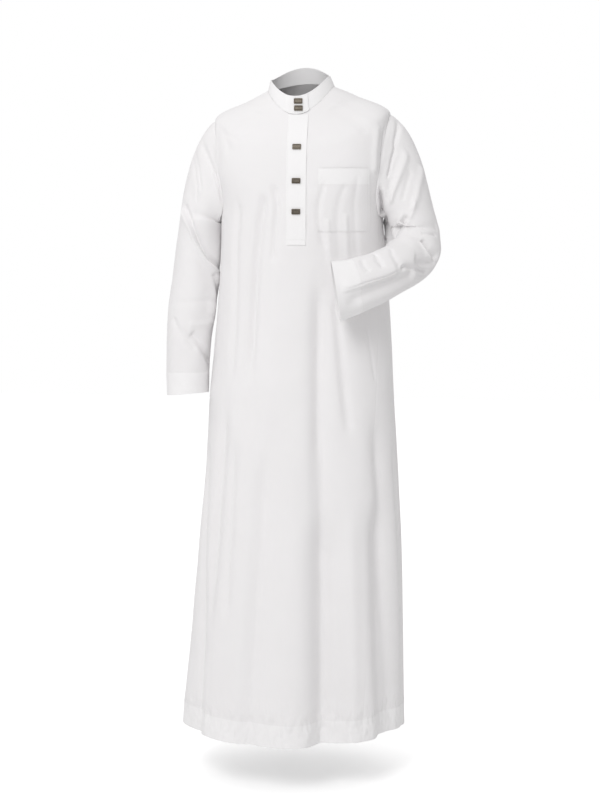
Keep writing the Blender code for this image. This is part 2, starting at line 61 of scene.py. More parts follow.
CROWNS = {-1: 0.10, 1: 0.18}        # what the very top of each cap adds to that, by side
CAP_LEAVES_TOP = (0.84, -0.54)      # outward and upward share of the cap's start at the shoulder
CAP_LEAVES_PIT = (0.45, -0.89)      # the same under the arm
BAND_OVERLAP_START = -12.0  # degrees from the front middle: the collar's under end
BAND_OVERLAP_END = 20.0     # free end of its outer lap
BAND_STEP_FROM = -34.0      # where it begins to step out over the under end
BAND_LAP = 0.0028           # how far it stands out there
BAND_SEAM_RISES = (0.91, 0.07)      # shares of the band's height at which its stitches run
BAND_SECOND_SEAM = 346.4173     # angle of the stitches across the lap, away from its free end
BAND_GROOVE = 0.00025       # depth of the stitched line near its top, and how far down that runs
BAND_GROOVE_DOWN = 0.004
BAND_HEIGHT = 0.045
BAND_SWELL = 0.0003         # how much its middle swells
BODY_FADE = 0.150           # length over which a large fold begins and ends

Ring = namedtuple("Ring", "side_z front_z back_z half_width front_depth back_depth "
                          "centre_x centre_y squareness left_rise")
NECK, SHOULDER_TIP, ARMPIT, HEM = 0, 2, 4, 8        # rows of BODY_RINGS, read as stations


def ring_of(*row):
    """A ring from a row of millimetres. Its squareness alone is a plain number."""
    return Ring(*(value if column == "squareness" else value / 1000
                  for column, value in zip(Ring._fields, row)))


BODY_RINGS = [ring_of(*row) for row in (
    (25, -30, 37, 70, 73, 67, 0, 0, 1, 4),
    (4, -60, 6, 116, 90, 86, 0, 4, 1, 6),
    (-35, -103, -58, 185, 110, 104, 2, 6, 0.86, 6),
    (-134, -166, -148, 183, 119, 112, 1, 6, 0.72, 0),
    (-238, -238, -238, 170.5, 122, 110, 1, 4, 0.86, 0),
    (-420, -420, -420, 182, 123, 118, 5, 2, 0.9, 0),
    (-615, -615, -615, 197.5, 137, 140, 2, 0, 0.94, 0),
    (-966, -968, -966, 224.5, 165, 165, -3.5, -2, 0.98, 0),
    (-1332, -1341, -1332, 247.5, 203, 188, -15.5, -4, 1, 0),
)]
BAND_TOP = ring_of(47.5, 7.5, 72, 62.5, 66.5, 61.5, -2, 1, 1, 3.5)

# Large folds: heights and how far out they stand (in where negative) in millimetres, and their
# middles and half widths in degrees.
Fold = namedtuple("Fold", "top bottom angle_top angle_bottom width_top width_bottom "
                          "out_top out_bottom")
BODY_FOLDS = [Fold(*row) for row in (
    (-170, -560, -21, -22, 6, 7, -3, -5),
    (-300, -780, -30, -29, 7, 8, -3, -6),
    (-140, -420, 17, 20, 7, 7, -2, -3),
    (-140, -420, 35, 35, 8, 8, -2, -3),
    (-360, -1600, 12, 33, 8, 17, -5, -24),
    (-380, -860, 27, 36, 7, 8, -5, -3),
    (-600, -1600, 55, 72, 8, 11, -5, -16),
    (-580, -1600, -9, -17, 8, 12, -4, -10),
    (-620, -1120, -46, -48, 7, 7, -4, -6),
    (-940, -1600, -55, -59, 8, 9, -4, -14),
    (-520, -1600, 88, 94, 9, 10, -4, -10),
    (-620, -1600, -84, -90, 10, 11, -4, -10),
    (-235, -440, 86, 86, 13, 13, 10, 10),
    (-100, -460, 150, 158, 8, 9, -4, -5),
    (-100, -460, 210, 203, 8, 9, -4, -5),
    (-220, -700, 176, 181, 8, 9, -3, -6),
    (-400, -1600, 168, 163, 8, 12, -5, -16),
    (-460, -1600, 197, 203, 8, 12, -4, -15),
    (-540, -1600, 141, 136, 8, 11, -4, -13),
    (-600, -1600, 226, 231, 8, 11, -4, -12),
    (-840, -1600, 114, 112, 10, 11, -3, -8),
    (-880, -1600, 246, 249, 10, 11, -3, -9),
)]

SleeveRing = namedtuple("SleeveRing", "inner outer half_depth turned")


def sleeve_ring(*row):
    """A sleeve's ring: the inner and the outer point and the half depth in millimetres, and how
    far its front is turned along the sleeve in degrees."""
    lengths = [value / 1000 for value in row[:7]]
    return SleeveRing(lengths[:3], lengths[3:6], lengths[6], row[7])


RIGHT_SLEEVE_RINGS = [sleeve_ring(*row) for row in (
    (-176.5, 4, -262, -257, 4, -224, 57, 0),
    (-177.5, 2, -306, -266.5, 2, -292, 56, 0),
    (-179, -2, -372, -277, -2, -372, 55, 0),
    (-184, -8, -440, -285, -8, -440, 54, 0),
    (-193, -14, -505, -288, -14, -505, 52, 0),
    (-197, -19, -565, -288.5, -19, -566, 50, 0),
    (-198.5, -23, -616, -286, -23, -624, 49, 0),
)]
LEFT_SLEEVE_RINGS = [sleeve_ring(*row) for row in (
    (177.5, 4, -256, 279, 0, -224, 56, 0),
    (180.5, -4, -272, 292.5, -2, -274, 55, 0),
    (182, -19, -285, 295.5, -10, -312, 54, 0),
    (185, -42, -296, 283, -28, -348, 50, 0),
    (183.5, -68, -303, 257, -62, -374, 50, 0),
    (174.5, -105, -307, 222, -100, -395, 48, 0),
    (156, -132, -315, 188, -127, -413, 47, 2),
    (134.5, -152, -320, 157.5, -148, -427, 46, 6),
    (111, -167, -327, 128.5, -164, -440, 46, 11),
    (82, -180, -329, 101, -178, -450, 46, 16),
)]
SleeveFold = namedtuple("SleeveFold", "start end angle_start angle_end width out")
RIGHT_SLEEVE_FOLDS = [SleeveFold(*row) for row in (
    (-0.10, 0.42, 60, 150, 26, -0.0040),
    (0.55, 0.92, 140, 60, 28, -0.0035),
    (0.30, 0.70, 320, 250, 28, -0.0040),
)]
LEFT_SLEEVE_FOLDS = [SleeveFold(*row) for row in (
    (0.12, 0.40, 120, 60, 28, -0.0040),
    (0.42, 0.74, 120, 145, 28, -0.0035),
    (0.62, 0.90, 300, 260, 28, -0.0035),
)]
SLEEVE_FADE = 0.14
CAP_SHARE = 0.5             # the cap's part of a sleeve's own scale, below 0

# ---- the cloth's own details
CLOTH = 0.0009              # thickness that shows at the hems
MESH_STEP = 0.0036          # spacing of the cloth's mesh down the body
HALF_FRONT_COLUMNS = 56
BACK_COLUMNS = 92
GORE_COLUMNS = 46
SLEEVE_COLUMNS = 168
CAP_ROWS = 56
SLEEVE_ROWS = 168
FRONT_PACKING = 0.40        # how much closer a sleeve's columns lie at its front
SEAM_DIP = 0.00030          # how far the cloth dips at a seam
SEAM_ROLL = 0.0016          # half width of that dip
SEAM_OFF = 0.0002           # how far a sleeve starts outside its seam
CAP_SINK = 0.0004           # how far it is sunk there, and the way over which it comes up as far
CAP_SINK_WAY = 0.006
CAP_BLEND = 0.010           # way over which it leaves the seam's own creases
WAVES_FROM = -0.03          # z below which the body's waves begin, and the depth in which they grow
WAVES_GROW = 0.12
# Waves: height, cells a metre and seed
BODY_WAVES = ((0.0009, (14, 14, 7), 1), (0.00035, (38, 38, 24), 2))
SLEEVE_WAVES = ((0.0007, (22, 22, 16), 7), (0.0003, (55, 55, 55), 11))
CUFF_WAVES = ((0.0006, (30, 30, 0), 13),)
HEM_WAVE = 0.0015           # height of the waves of the hem's edge
EDGE_WAVES_UP = (0.03, 0.02)        # how far up the hem's and the cuffs' waves reach
HEM_WAVE_CELLS = (22, 22, 0)
SEWN_GROOVE = 0.00035       # depth of a sewn line and its half width
SEWN_WIDTH = 0.0013
GROOVE_WIDTH = 0.0009       # half width of a narrow one, on the collar and the pocket
PUCKER_REACH = 0.015        # half width of the puckers beside it
PUCKERS = 0.0003            # their height where nothing else is said
STEP_WIDTH = 0.003          # width over which a doubled layer's edge rises
HEM_DEPTH = 0.050
HEM_STEP = 0.0003           # how much a doubled hem or cuff stands proud
HEM_PUCKERS = 0.0026        # height of the puckers along the hem's sewn line
PUCKER_CELLS = (66, 66, 16)         # their cells a metre, and those along a cuff's
CUFF_PUCKER_CELLS = (70, 70, 70)
CUFF_DEPTH = 0.047
POCKET_HEM = 0.0335
STITCH_INSET = 0.0015       # from the placket's edge to its stitches
BOX_INSET = 0.0030          # the same on its free side, where they close a box at its end
BOX_HEIGHT = 0.012
PLACKET_SEAM_TOP = -0.034
POCKET_INSET = 0.002
WEAVE = 0.00062             # width of one diagonal rib of the twill
SLUB = 0.35                 # height of the thick yarns beside the ribs' own
PUCKERS_FROM = (-1.235, -1.285)     # z between which the hem's fine puckers fade in
LIP_PLACE = 1.8             # a sharp crease's raised lip: its place in half widths, and its height
LIP_SHARE = 0.35
CREASE_FADE = 0.13          # share of a crease over which each end fades out

Crease = namedtuple("Crease", "width out tail points")


def crease_table(rows):
    """Creases from rows of millimetres and degrees.

    A row gives the crease's half width, how far out it stands (in where negative), the half width
    of the side on which it recovers slowly, and then the place and angle of each point it runs
    through. That side is left of its way where positive, right of it where negative, and with 0
    both sides are alike."""
    return [Crease(width / 1000, out / 1000, tail / 1000,
                   [(place / 1000, angle) for place, angle in zip(path[::2], path[1::2])])
            for width, out, tail, *path in rows]


# On the body a point's place is its z.
BODY_CREASES = crease_table([
    (6, 2.4, 0, -36, -75, -60, -70, -90, -68, -130, -66, -170, -68, -200, -72),
    (11, -3, 0, -15, 45, -28, 48, -48, 45, -76, 45),
    (9, -2.2, 0, 0, 62, -15, 60, -36, 54),
    (11, -2.6, 0, -25, -46, -37, -48, -58, -45, -83, -47),
    (10, -2.4, 0, -36, -69, -72, -54, -114, -44),
    (11, 4.5, 0, -49, 59, -80, 58, -110, 56, -160, 56),
    (10, -4.2, 0, -380, 12.5, -530, 13, -620, 13.2, -750, 14),
    (8, -8.8, 0, -185, -15, -247, -22, -330, -26, -414, -28, -600, -29),
    (5.6, -5.8, 0, -170, -8, -216, -9, -277, -12, -340, -14),
    (9, -4.8, 0, -197, -41, -290, -46, -414, -45, -600, -44),
    (6, -2.7, 0, -160, 12, -247, 13.5, -310, 17),
    (8, -2.5, 0, -165, 27, -250, 27, -340, 28),
    (6.5, -1.7, 0, -150, 36, -237, 42, -330, 43),
    (5.5, 2.5, 0, -240, 20, -340, 21),
    (5.5, 2.7, 0, -230, 34, -340, 35),
    (17, -8.7, 0, -330, 12, -540, 13, -700, 14, -870, 16, -1040, 17.5, -1600, 23),
    (10, -5.5, 0, -400, 23, -540, 28, -700, 34),
    (13, -5, 0, -640, 53.5, -870, 57, -1040, 60, -1200, 64, -1600, 72),
    (12, -5, 0, -700, -38, -900, -37, -1100, -36),
    (12.5, -5.8, 0, -620, -48, -909, -49.3, -1120, -50),
    (16, -6.5, 0, -720, -17, -900, -17, -1160, -18, -1600, -17),
    (4, -3.4, 0, -46, 73, -83, 68, -114, 66, -149, 66, -186, 70, -227, 73),
    (11, -8.2, 0, -700, -72, -850, -65, -1050, -59, -1270, -53, -1600, -50),
    (30, -18.5, 0, -840, 16.5, -1117, 18.5, -1242, 20, -1600, 23.5),
    (23, -16.5, 0, -820, 53, -1081, 54, -1212, 56, -1600, 63),
    (14, 4, 0, -840, 33, -1036, 35, -1206, 37, -1600, 42),
    (5, -1.4, 0, -460, 48, -590, 56),
    (8, -3, 0, -100, 172, -220, 166, -360, 170),
    (8.5, -3, 0, -160, 196, -300, 201, -500, 197),
    (9, -2.4, 0, -80, 150, -140, 180, -90, 212),
    (9, -3.2, 0, -320, 146, -520, 152, -700, 149),
    (8, -3, 0, -300, 222, -460, 214, -660, 217),
    (13, -5.7, 0, -400, 184, -600, 178, -950, 181, -1600, 184),
    (12, -4.9, 0, -620, 160, -900, 154, -1600, 150),
    (13, -5.4, 0, -700, 208, -1000, 214, -1600, 218),
    (10, -3.8, 0, -900, 128, -1200, 124, -1600, 124),
    (10, -3.5, 0, -860, 236, -1150, 241, -1600, 243),
    (8, -2.7, 0, -260, 96, -400, 104, -580, 102),
    (8, -2.7, 0, -260, 264, -420, 256, -600, 259),
    (11, -4.6, 0, -700, 76, -980, 79, -1600, 82),
    (11, -4.6, 0, -740, 283, -1020, 279, -1600, 276),
])
# On a sleeve it is the distance below the cap, and the angle runs from the outer edge by the front.
RIGHT_SLEEVE_CREASES = crease_table([
    (20, 5.2, 0, -110, 176, -50, 177, 41, 174, 100, 166, 150, 163, 250, 160),
    (16, 2.6, 0, 120, 163, 165, 163, 220, 163),
    (3.8, -8, 10, -8, 32, 8, 56, 23, 76, 53, 102, 89, 134, 123, 190),
    (5, 2.8, -13, -6, 14, 17, 64, 47, 90, 85, 124, 120, 164),
    (7, 4.6, -30, 11, 70, 8, 92, -4, 130, -42, 198),
    (3.4, -2.2, 0, -63, 10, -59, 34, -46, 62, -21, 82),
    (3.6, -2.1, 0, -71, 8, -65, 44, -50, 80),
    (4.6, -3.8, 0, -86, 14, -90, 56, -100, 98, -113, 144),
    (3.6, -2.6, 0, -95, 76, -100, 104, -104, 130),
    (8, -5.8, 0, 118, 152, 148, 164, 178, 182, 216, 176),
    (6, -2.9, 0, 214, 48, 243, 70, 267, 98, 290, 126),
    (8.5, -6.4, 0, 249, 102, 266, 126, 290, 150, 321, 188),
    (7, 2.2, 0, 233, 94, 235, 122, 231, 148, 220, 178),
    (8, -1.8, 0, 190, 5, 172, 350, 150, 330),
    (6, -2.6, 12, 60, 205, 90, 255, 140, 300),
    (8, -2.6, 0, 200, 235, 240, 290, 290, 345),
    (7, -2, 0, 310, 240, 335, 300),
    (7, -2.2, 0, -50, 300, 10, 250, 60, 215),
    (5, -1.8, 0, -80, 330, -60, 280, -40, 230),
])
LEFT_SLEEVE_CREASES = crease_table([
    (22, -6, 0, -105, 108, -80, 135, -50, 155, 0, 168, 50, 172, 105, 172),
    (9, -15, 0, -107, 102, -88, 122, -70, 140, -45, 158, 10, 170, 53, 172, 105, 168),
    (14, 7.5, 0, -90, 203, -20, 204, 30, 205, 60, 211, 95, 220),
    (11, 3.8, 0, -60, 202, -20, 202, 30, 202, 56, 203),
    (10, -8, 0, -20, 166, 30, 171, 80, 171, 110, 168),
    (14, -8, 0, 318, 67, 269, 71, 223, 67, 198, 62, 165, 50),
    (3.4, -6.2, 0, -112, 0, -106, 20, -101, 38, -95, 45, -92, 59, -88, 73, -86, 90),
    (8.5, 4.8, -6, -80, 26, -72, 42, -66, 60, -62, 76, -56, 96, -43, 116),
    (5, -2.4, 0, -58, 36, -49, 56, -38, 74, -27, 90),
    (7, 4.4, 0, -52, 10, -43, 20, -32, 40, -15, 60, 3, 78),
    (3.6, 2.7, 0, -19, 60, 2, 74, 18, 90, 56, 120),
    (4.6, -6.4, 9, 106, 166, 74, 144, 51, 128, 18, 104, 3, 86),
    (8, -3.4, 0, 44, 80, 32, 52, 31, 16),
    (3.4, -3.1, 0, 68, 86, 61, 64, 51, 34),
    (4.4, -8.5, -10, 89, 88, 97, 74, 102, 60, 99, 44, 90, 18),
    (10, -8.5, 0, 157, 88, 141, 60, 120, 40, 94, 26),
    (5, -7.1, 0, 200, 90, 184, 84, 172, 70, 148, 42, 120, 12),
    (4, 5, -20, 324, 92, 286, 95, 248, 91, 226, 90, 201, 86),
    (1.7, -2.7, 0, 320, 92, 299, 94, 282, 96, 263, 94, 246, 92, 225, 90, 201, 88),
    (6, -2.6, 0, 174, 152, 193, 130, 198, 110, 196, 92),
    (6, -2.6, 0, 219, 168, 235, 134, 232, 112),
    (6, -2.6, 0, 263, 160, 268, 134, 263, 112),
    (5, -1.5, 0, 220, 172, 234, 106),
    (6, -3.4, 12, 60, 330, 90, 280, 130, 235),
    (6, -2.8, -10, 110, 345, 150, 290, 180, 240),
    (8, -2.4, 0, 200, 350, 250, 300, 290, 250),
    (5, -2.2, 0, -90, 340, -72, 290, -50, 240),
    (6, -2, 0, -50, 335, -30, 280, 10, 235),
    (6, -2, 0, 150, 215, 200, 250, 240, 225),
])


def unit(vector):
    vector = np.asarray(vector, float)
    return vector / np.maximum(np.linalg.norm(vector, axis=-1, keepdims=True), 1e-12)


def smooth_step(value):
    value = np.clip(value, 0.0, 1.0)
    return value * value * (3 - 2 * value)


def smooth_curve(places, heights, at):
    """Reads a curve through the given heights without overshooting between them."""
    places = np.asarray(places, float)
    heights = np.asarray(heights, float)
    run = np.diff(places)
    rise = np.diff(heights) / run
    slope = np.zeros(len(places))
    same_way = rise[:-1] * rise[1:] > 0
    with np.errstate(divide="ignore", invalid="ignore"):
        mean = 2 * rise[:-1] * rise[1:] / (rise[:-1] + rise[1:])
    slope[1:-1] = np.where(same_way, mean, 0.0)
    slope[0] = rise[0]
    slope[-1] = rise[-1]
    at = np.clip(np.asarray(at, float), places[0], places[-1])
    k = np.clip(np.searchsorted(places, at, side="right") - 1, 0, len(run) - 1)
    t = (at - places[k]) / run[k]
    low_part = heights[k] * (1 + 2 * t) * (1 - t) ** 2 + heights[k + 1] * t * t * (3 - 2 * t)
    return low_part + run[k] * (slope[k] * t * (1 - t) ** 2 - slope[k + 1] * t * t * (1 - t))


def ring_value(column, station):
    heights = [getattr(ring, column) for ring in BODY_RINGS]
    return smooth_curve(range(len(BODY_RINGS)), heights, station)


def ring_at(station):
    return Ring(*(ring_value(column, station) for column in Ring._fields))


def ring_depth(ring, cosine):
    """Half depth at the front or the back, whichever the angle is on."""
    return np.where(cosine > 0, ring.front_depth, ring.back_depth)


def ring_height(ring, sine, cosine):
    end_z = np.where(cosine > 0, ring.front_z, ring.back_z)
    return ring.side_z * sine ** 2 + end_z * cosine ** 2 + ring.left_rise * sine


def outward(ring, sine, cosine):
    """Level directions straight off the body's ring."""
    return unit(np.stack([sine / ring.half_width, -cosine / ring_depth(ring, cosine)], -1))


def grids(*values):
    """Arrays of one shape."""
    return np.broadcast_arrays(*(np.asarray(value, float) for value in values))


def running_sum(steps):
    return np.concatenate([[0], np.cumsum(steps)])


def turn_between(angle, centre):
    return (angle - centre + 180.0) % 360.0 - 180.0


def lengths_along(points):
    """Distance of each point of a line from its first."""
    return running_sum(np.linalg.norm(np.diff(points, axis=0), axis=1))


def read_along(at, length, points):
    """Points at the given distances along a line."""
    return np.stack([np.interp(at, length, points[:, k]) for k in range(3)], -1)


def bell_curve(distance, half_width):
    return np.exp(-(distance / half_width) ** 2)


def body_fold(angle, z):
    out = np.zeros(np.broadcast(angle, z).shape)
    for fold in BODY_FOLDS:
        top, bottom = fold.top / 1000, fold.bottom / 1000
        along = np.clip((top - z) / (top - bottom), 0, 1)
        centre = fold.angle_top + (fold.angle_bottom - fold.angle_top) * along
        width = fold.width_top + (fold.width_bottom - fold.width_top) * along
        depth = (fold.out_top + (fold.out_bottom - fold.out_top) * along) / 1000
        begins = smooth_step((top - z) / BODY_FADE)
        ends = smooth_step((z - bottom) / BODY_FADE)
        bell = bell_curve(turn_between(angle, centre), width)
        out += depth * begins * ends * bell
    return out


def lattice_noise(points, seed):
    """Smooth noise from -1 to 1 at points given in noise cells."""
    corner = np.floor(points).astype(np.int64)
    part = points - corner
    ease = part * part * part * (part * (part * 6 - 15) + 10)
    total = np.zeros(points.shape[:-1])
    for step in np.ndindex(2, 2, 2):
        place = (corner + np.array(step)) * np.array([73856093, 19349663, 83492791])
        key = (np.bitwise_xor.reduce(place, -1) ^ (seed * 2654435761)) & 0xFFFFFFFF
        for shift, factor in ((15, 0x2C1B3C6D), (12, 0x297A2D39)):
            key = ((key ^ (key >> shift)) * factor) & 0xFFFFFFFF
        value = ((key ^ (key >> 15)) & 0xFFFF) / 32767.5 - 1
        weight = np.prod(np.where(np.array(step) == 1, ease, 1 - ease), -1)
        total += value * weight
    return total


def waves(points, table, seed_shift=0):
    """Sum of gentle waves, each with its height, its cells a metre and its seed."""
    return sum(height * lattice_noise(points * np.array(cells), seed + seed_shift)
               for height, cells, seed in table)


def crease_out(along, across, across_scale, creases):
    """Sum of the creases' heights at points given by a length and an angle."""
    out = np.zeros(np.broadcast(along, across).shape)
    for crease in creases:
        points = np.array(crease.points, float)
        best = np.full(out.shape, 1e9)
        side = np.zeros(out.shape)
        travel = np.zeros(out.shape)
        legs = len(points) - 1
        for leg, (start, end) in enumerate(zip(points[:-1], points[1:])):
            run_u = end[0] - start[0]
            run_v = (end[1] - start[1]) * across_scale
            u = along - start[0]
            v = turn_between(across, start[1]) * across_scale
            length = np.maximum(run_u ** 2 + run_v ** 2, 1e-12)
            t = np.clip((u * run_u + v * run_v) / length, 0, 1)
            away_u, away_v = u - t * run_u, v - t * run_v
            away = np.hypot(away_u, away_v)
            nearer = away < best
            best = np.where(nearer, away, best)
            turn = np.sign(run_u * v - run_v * u)
            side = np.where(nearer, turn * away, side)
            travel = np.where(nearer, (leg + t) / legs, travel)
        fade = smooth_step(travel / CREASE_FADE) * smooth_step((1 - travel) / CREASE_FADE)
        bell = bell_curve(best, crease.width)
        if crease.tail:
            slow = side * crease.tail > 0
            lip = bell_curve(best - LIP_PLACE * crease.width, crease.width)
            bell = np.where(slow, bell_curve(best, crease.tail), bell - LIP_SHARE * lip)
        out += crease.out * fade * bell
    return out


def body_point(angle, station):
    """Points of the body's outer surface with its large folds."""
    sine, cosine = np.sin(np.radians(angle)), np.cos(np.radians(angle))
    ring = ring_at(station)
    across = np.sign(sine) * np.abs(sine) ** ring.squareness
    ahead = np.sign(cosine) * np.abs(cosine) ** ring.squareness
    z = ring_height(ring, sine, cosine)
    out = outward(ring, sine, cosine)
    fold = body_fold(angle, z)
    x = ring.centre_x + ring.half_width * across + fold * out[..., 0]
    y = ring.centre_y - ring_depth(ring, cosine) * ahead + fold * out[..., 1]
    return np.stack([x, y, z], -1)


def side_seam_angle(station):
    """Angle between the front middle and the front panel's side edge."""
    half_width = np.maximum(ring_value("half_width", station), PANEL_HALF)
    power = 1 / ring_value("squareness", station)
    below_arm = np.degrees(np.arcsin((PANEL_HALF / half_width) ** power))
    pit_ring = BODY_RINGS[ARMPIT]
    pit = math.degrees(math.asin((PANEL_HALF / pit_ring.half_width) ** (1 / pit_ring.squareness)))
    share = np.clip((station - SHOULDER_TIP) / (ARMPIT - SHOULDER_TIP), 0, 1)
    scoop = np.sin(np.pi * share) ** SCOOP_ROUNDNESS
    armhole = 90 - (90 - pit) * share - ARMHOLE_SCOOP * scoop
    return np.where(station < ARMPIT, armhole, below_arm)


def angle_at(x, station):
    share = (x - ring_value("centre_x", station)) / ring_value("half_width", station)
    power = ring_value("squareness", station)
    return np.degrees(np.arcsin(np.sign(share) * np.minimum(np.abs(share), 1) ** (1 / power)))


def front_surface_at(x, z):
    """Angle and station of the front surface at x and z, found by halving the stations."""
    low = np.full(np.shape(x), float(NECK))
    high = np.full(np.shape(x), float(HEM))
    for _ in range(30):
        middle = (low + high) / 2
        too_low = body_point(angle_at(x, middle), middle)[..., 2] < z
        high = np.where(too_low, middle, high)
        low = np.where(too_low, low, middle)
    return angle_at(x, low), low


def stitched_line(distance, seed_points, puckers=PUCKERS):
    """A sewn line's groove, with puckers beside it."""
    return (puckers * lattice_noise(seed_points, 5) * bell_curve(distance, PUCKER_REACH)
            - SEWN_GROOVE * bell_curve(distance, SEWN_WIDTH))


def robe_point(angle, station):
    """Points of the body's outer surface with every fold, crease, seam and hem."""
    angle, station = grids(angle, station)
    base = body_point(angle, station)
    z = base[..., 2]
    sine, cosine = np.sin(np.radians(angle)), np.cos(np.radians(angle))
    ring = ring_at(station)
    # Metres around the body in one degree
    scale = np.radians(np.hypot(ring.half_width * cosine, ring_depth(ring, cosine) * sine))

    out = crease_out(z, angle, scale, BODY_CREASES)
    out = out + smooth_step((WAVES_FROM - z) / WAVES_GROW) * waves(base, BODY_WAVES)

    off_front = np.abs(turn_between(angle, 0))
    seam = side_seam_angle(station)
    to_seam = np.minimum(np.abs(off_front - seam), np.abs(off_front - (180 - seam))) * scale
    out = out - SEAM_DIP * bell_curve(to_seam, SEAM_ROLL)

    to_edge = z - ring_height(BODY_RINGS[HEM], sine, cosine)
    out = out + HEM_STEP * smooth_step((HEM_DEPTH - to_edge) / STEP_WIDTH)
    out = out + stitched_line(to_edge - HEM_DEPTH, base * np.array(PUCKER_CELLS), HEM_PUCKERS)
    hem_waves = HEM_WAVE * lattice_noise(base * np.array(HEM_WAVE_CELLS) + 9, 3)
    out = out + hem_waves * smooth_step(1 - to_edge / EDGE_WAVES_UP[0])
    across = base[..., :2] + outward(ring, sine, cosine) * out[..., None]
    return np.concatenate([across, z[..., None]], -1)


def body_normals(angle, station):
    """Unit normals of the body's outer surface."""
    angle, station = grids(angle, station)
    low = np.maximum(station - 0.008, float(NECK))
    high = np.minimum(station + 0.008, float(HEM))
    around = body_point(angle + 0.4, station) - body_point(angle - 0.4, station)
    return unit(np.cross(body_point(angle, high) - body_point(angle, low), around))


def even_stations(first, last, angle, step):
    """Stations whose points on one line down the robe are evenly spaced."""
    fine = np.linspace(first, last, 1200)
    length = lengths_along(body_point(np.full(fine.shape, float(angle)), fine))
    count = max(2, int(round(length[-1] / step)))
    return np.interp(np.linspace(0, length[-1], count + 1), length, fine)


def body_stations(first, last):
    """Rows of the body's mesh, the same on all panels."""
    shoulder = even_stations(NECK, SHOULDER_TIP, 75, MESH_STEP)
    armhole = even_stations(SHOULDER_TIP, ARMPIT, 68, MESH_STEP)
    skirt = even_stations(ARMPIT, HEM, 60, MESH_STEP)
    rows = np.unique(np.round(np.concatenate([shoulder, armhole, skirt]), 7))
    return rows[(rows >= first) & (rows <= last)]


def edge_spread(count):
    """Shares from 0 to 1, closer together near both ends."""
    t = np.linspace(0, 1, count + 1)
    return t - 0.35 * np.sin(2 * np.pi * t) / (2 * np.pi)


# ---- meshes
def grid_normals(points, wraps):
    if wraps:
        around = np.roll(points, -1, 1) - np.roll(points, 1, 1)
    else:
        around = np.gradient(points, axis=1)
    return unit(np.cross(np.gradient(points, axis=0), around))


def cell_corners(grid):
    return np.stack([grid[:-1, :-1], grid[1:, :-1], grid[1:, 1:], grid[:-1, 1:]], 2)


def grid_mesh(name, points, wraps=False, open_cells=None, doubled=None):
    """Mesh of a grid of points, with a UV map in metres along and across the cloth.

    The rows of faces that doubled names take the piece's second material."""
    rows, columns = points.shape[:2]
    index, closed = np.arange(rows * columns).reshape(rows, columns), points
    if wraps:
        index = np.concatenate([index, index[:, :1]], 1)
        closed = np.concatenate([points, points[:, :1]], 1)
    faces = cell_corners(index)
    across = np.linalg.norm(np.diff(closed, axis=1), axis=-1).mean(0)
    down = np.linalg.norm(np.diff(closed, axis=0), axis=-1).mean(1)
    corners = cell_corners(np.stack(np.meshgrid(running_sum(across), running_sum(down)), -1))
    keep = np.ones(faces.shape[:2], bool) if open_cells is None else ~open_cells
    mesh = bpy.data.meshes.new(name)
    mesh.from_pydata(points.reshape(-1, 3).tolist(), [], faces[keep].tolist())
    layer = mesh.uv_layers.new(name="cloth_metres")
    layer.uv.foreach_set("vector", corners[keep].reshape(-1).astype(np.float32))
    if doubled is not None:
        second = np.repeat(doubled[:, None], faces.shape[1], 1)[keep]
        mesh.polygons.foreach_set("material_index", second.astype(np.int32))
    mesh.shade_smooth()
    sharpen_border(mesh)
    return mesh


def sharpen_border(mesh):
    """Keeps the cut edge of the cloth from shading the face beside it."""
    uses = np.empty(len(mesh.loops), np.int32)
    mesh.loops.foreach_get("edge_index", uses)
    border = np.bincount(uses, minlength=len(mesh.edges)) == 1
    mesh.attributes.new("sharp_edge", "BOOLEAN", "EDGE").data.foreach_set("value", border)


def tube_faces(start, levels, count, close_start=True):
    """Faces of a tube of loops of points, its far end closed and its near one if asked."""
    faces = [(low + k, low + (k + 1) % count, low + count + (k + 1) % count, low + count + k)
             for low in range(start, start + (levels - 1) * count, count) for k in range(count)]
    if close_start:
        faces.append(tuple(start + k for k in reversed(range(count))))
    return faces + [tuple(start + (levels - 1) * count + k for k in range(count))]


def add_object(name, data):
    made = bpy.data.objects.new(name, data)
    bpy.context.scene.collection.objects.link(made)
    return made


def add_piece(name, mesh, materials, wall=None, stands_for=None):
    """A piece on the robe's body, thickened inwards where it is cloth."""
    piece = add_object(name, mesh)
    for material in materials if isinstance(materials, tuple) else (materials,):
        mesh.materials.append(material)
    if wall:
        solid = piece.modifiers.new("thickness", "SOLIDIFY")
        solid.thickness = wall
        solid.offset = -1.0
        solid.use_even_offset = False
    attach(piece, "root")
    if stands_for:
        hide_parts(stands_for)
    return piece


def add_cloth(node_name, mesh, materials, wall=CLOTH):
    return add_piece(node_name + "_cloth", mesh, materials, wall, node_name)


# ---- materials
def set_sockets(tree, made, inputs):
    """Gives each named input a constant, or a link from another node's output."""
    for socket, value in inputs.items():
        if isinstance(value, bpy.types.NodeSocket):
            tree.links.new(value, made.inputs[socket])
        else:
            made.inputs[socket].default_value = value


def node(tree, kind, inputs=None, **values):
    made = tree.nodes.new(kind)
    for key, value in values.items():
        setattr(made, key, value)
    set_sockets(tree, made, inputs or {})
    return made


def shader_material(name, colour, roughness, metallic=0.0):
    material = bpy.data.materials.new(name)
    material.use_nodes = True
    tree = material.node_tree
    surface = tree.nodes["Principled BSDF"]
    set_sockets(tree, surface, {"Base Color": (*colour, 1.0), "Roughness": roughness,
                                "Metallic": metallic})
    return material, tree, surface


def math_node(tree, operation, *terms):
    return node(tree, "ShaderNodeMath", dict(enumerate(terms)), operation=operation).outputs[0]


def weighted(tree, first, first_share, second, second_share):
    return math_node(tree, "ADD", math_node(tree, "MULTIPLY", first, first_share),
                     math_node(tree, "MULTIPLY", second, second_share))


def noise(tree, places, scale, detail):
    inputs = {"Vector": places, "Scale": scale, "Detail": detail}
    return node(tree, "ShaderNodeTexNoise", inputs).outputs[0]


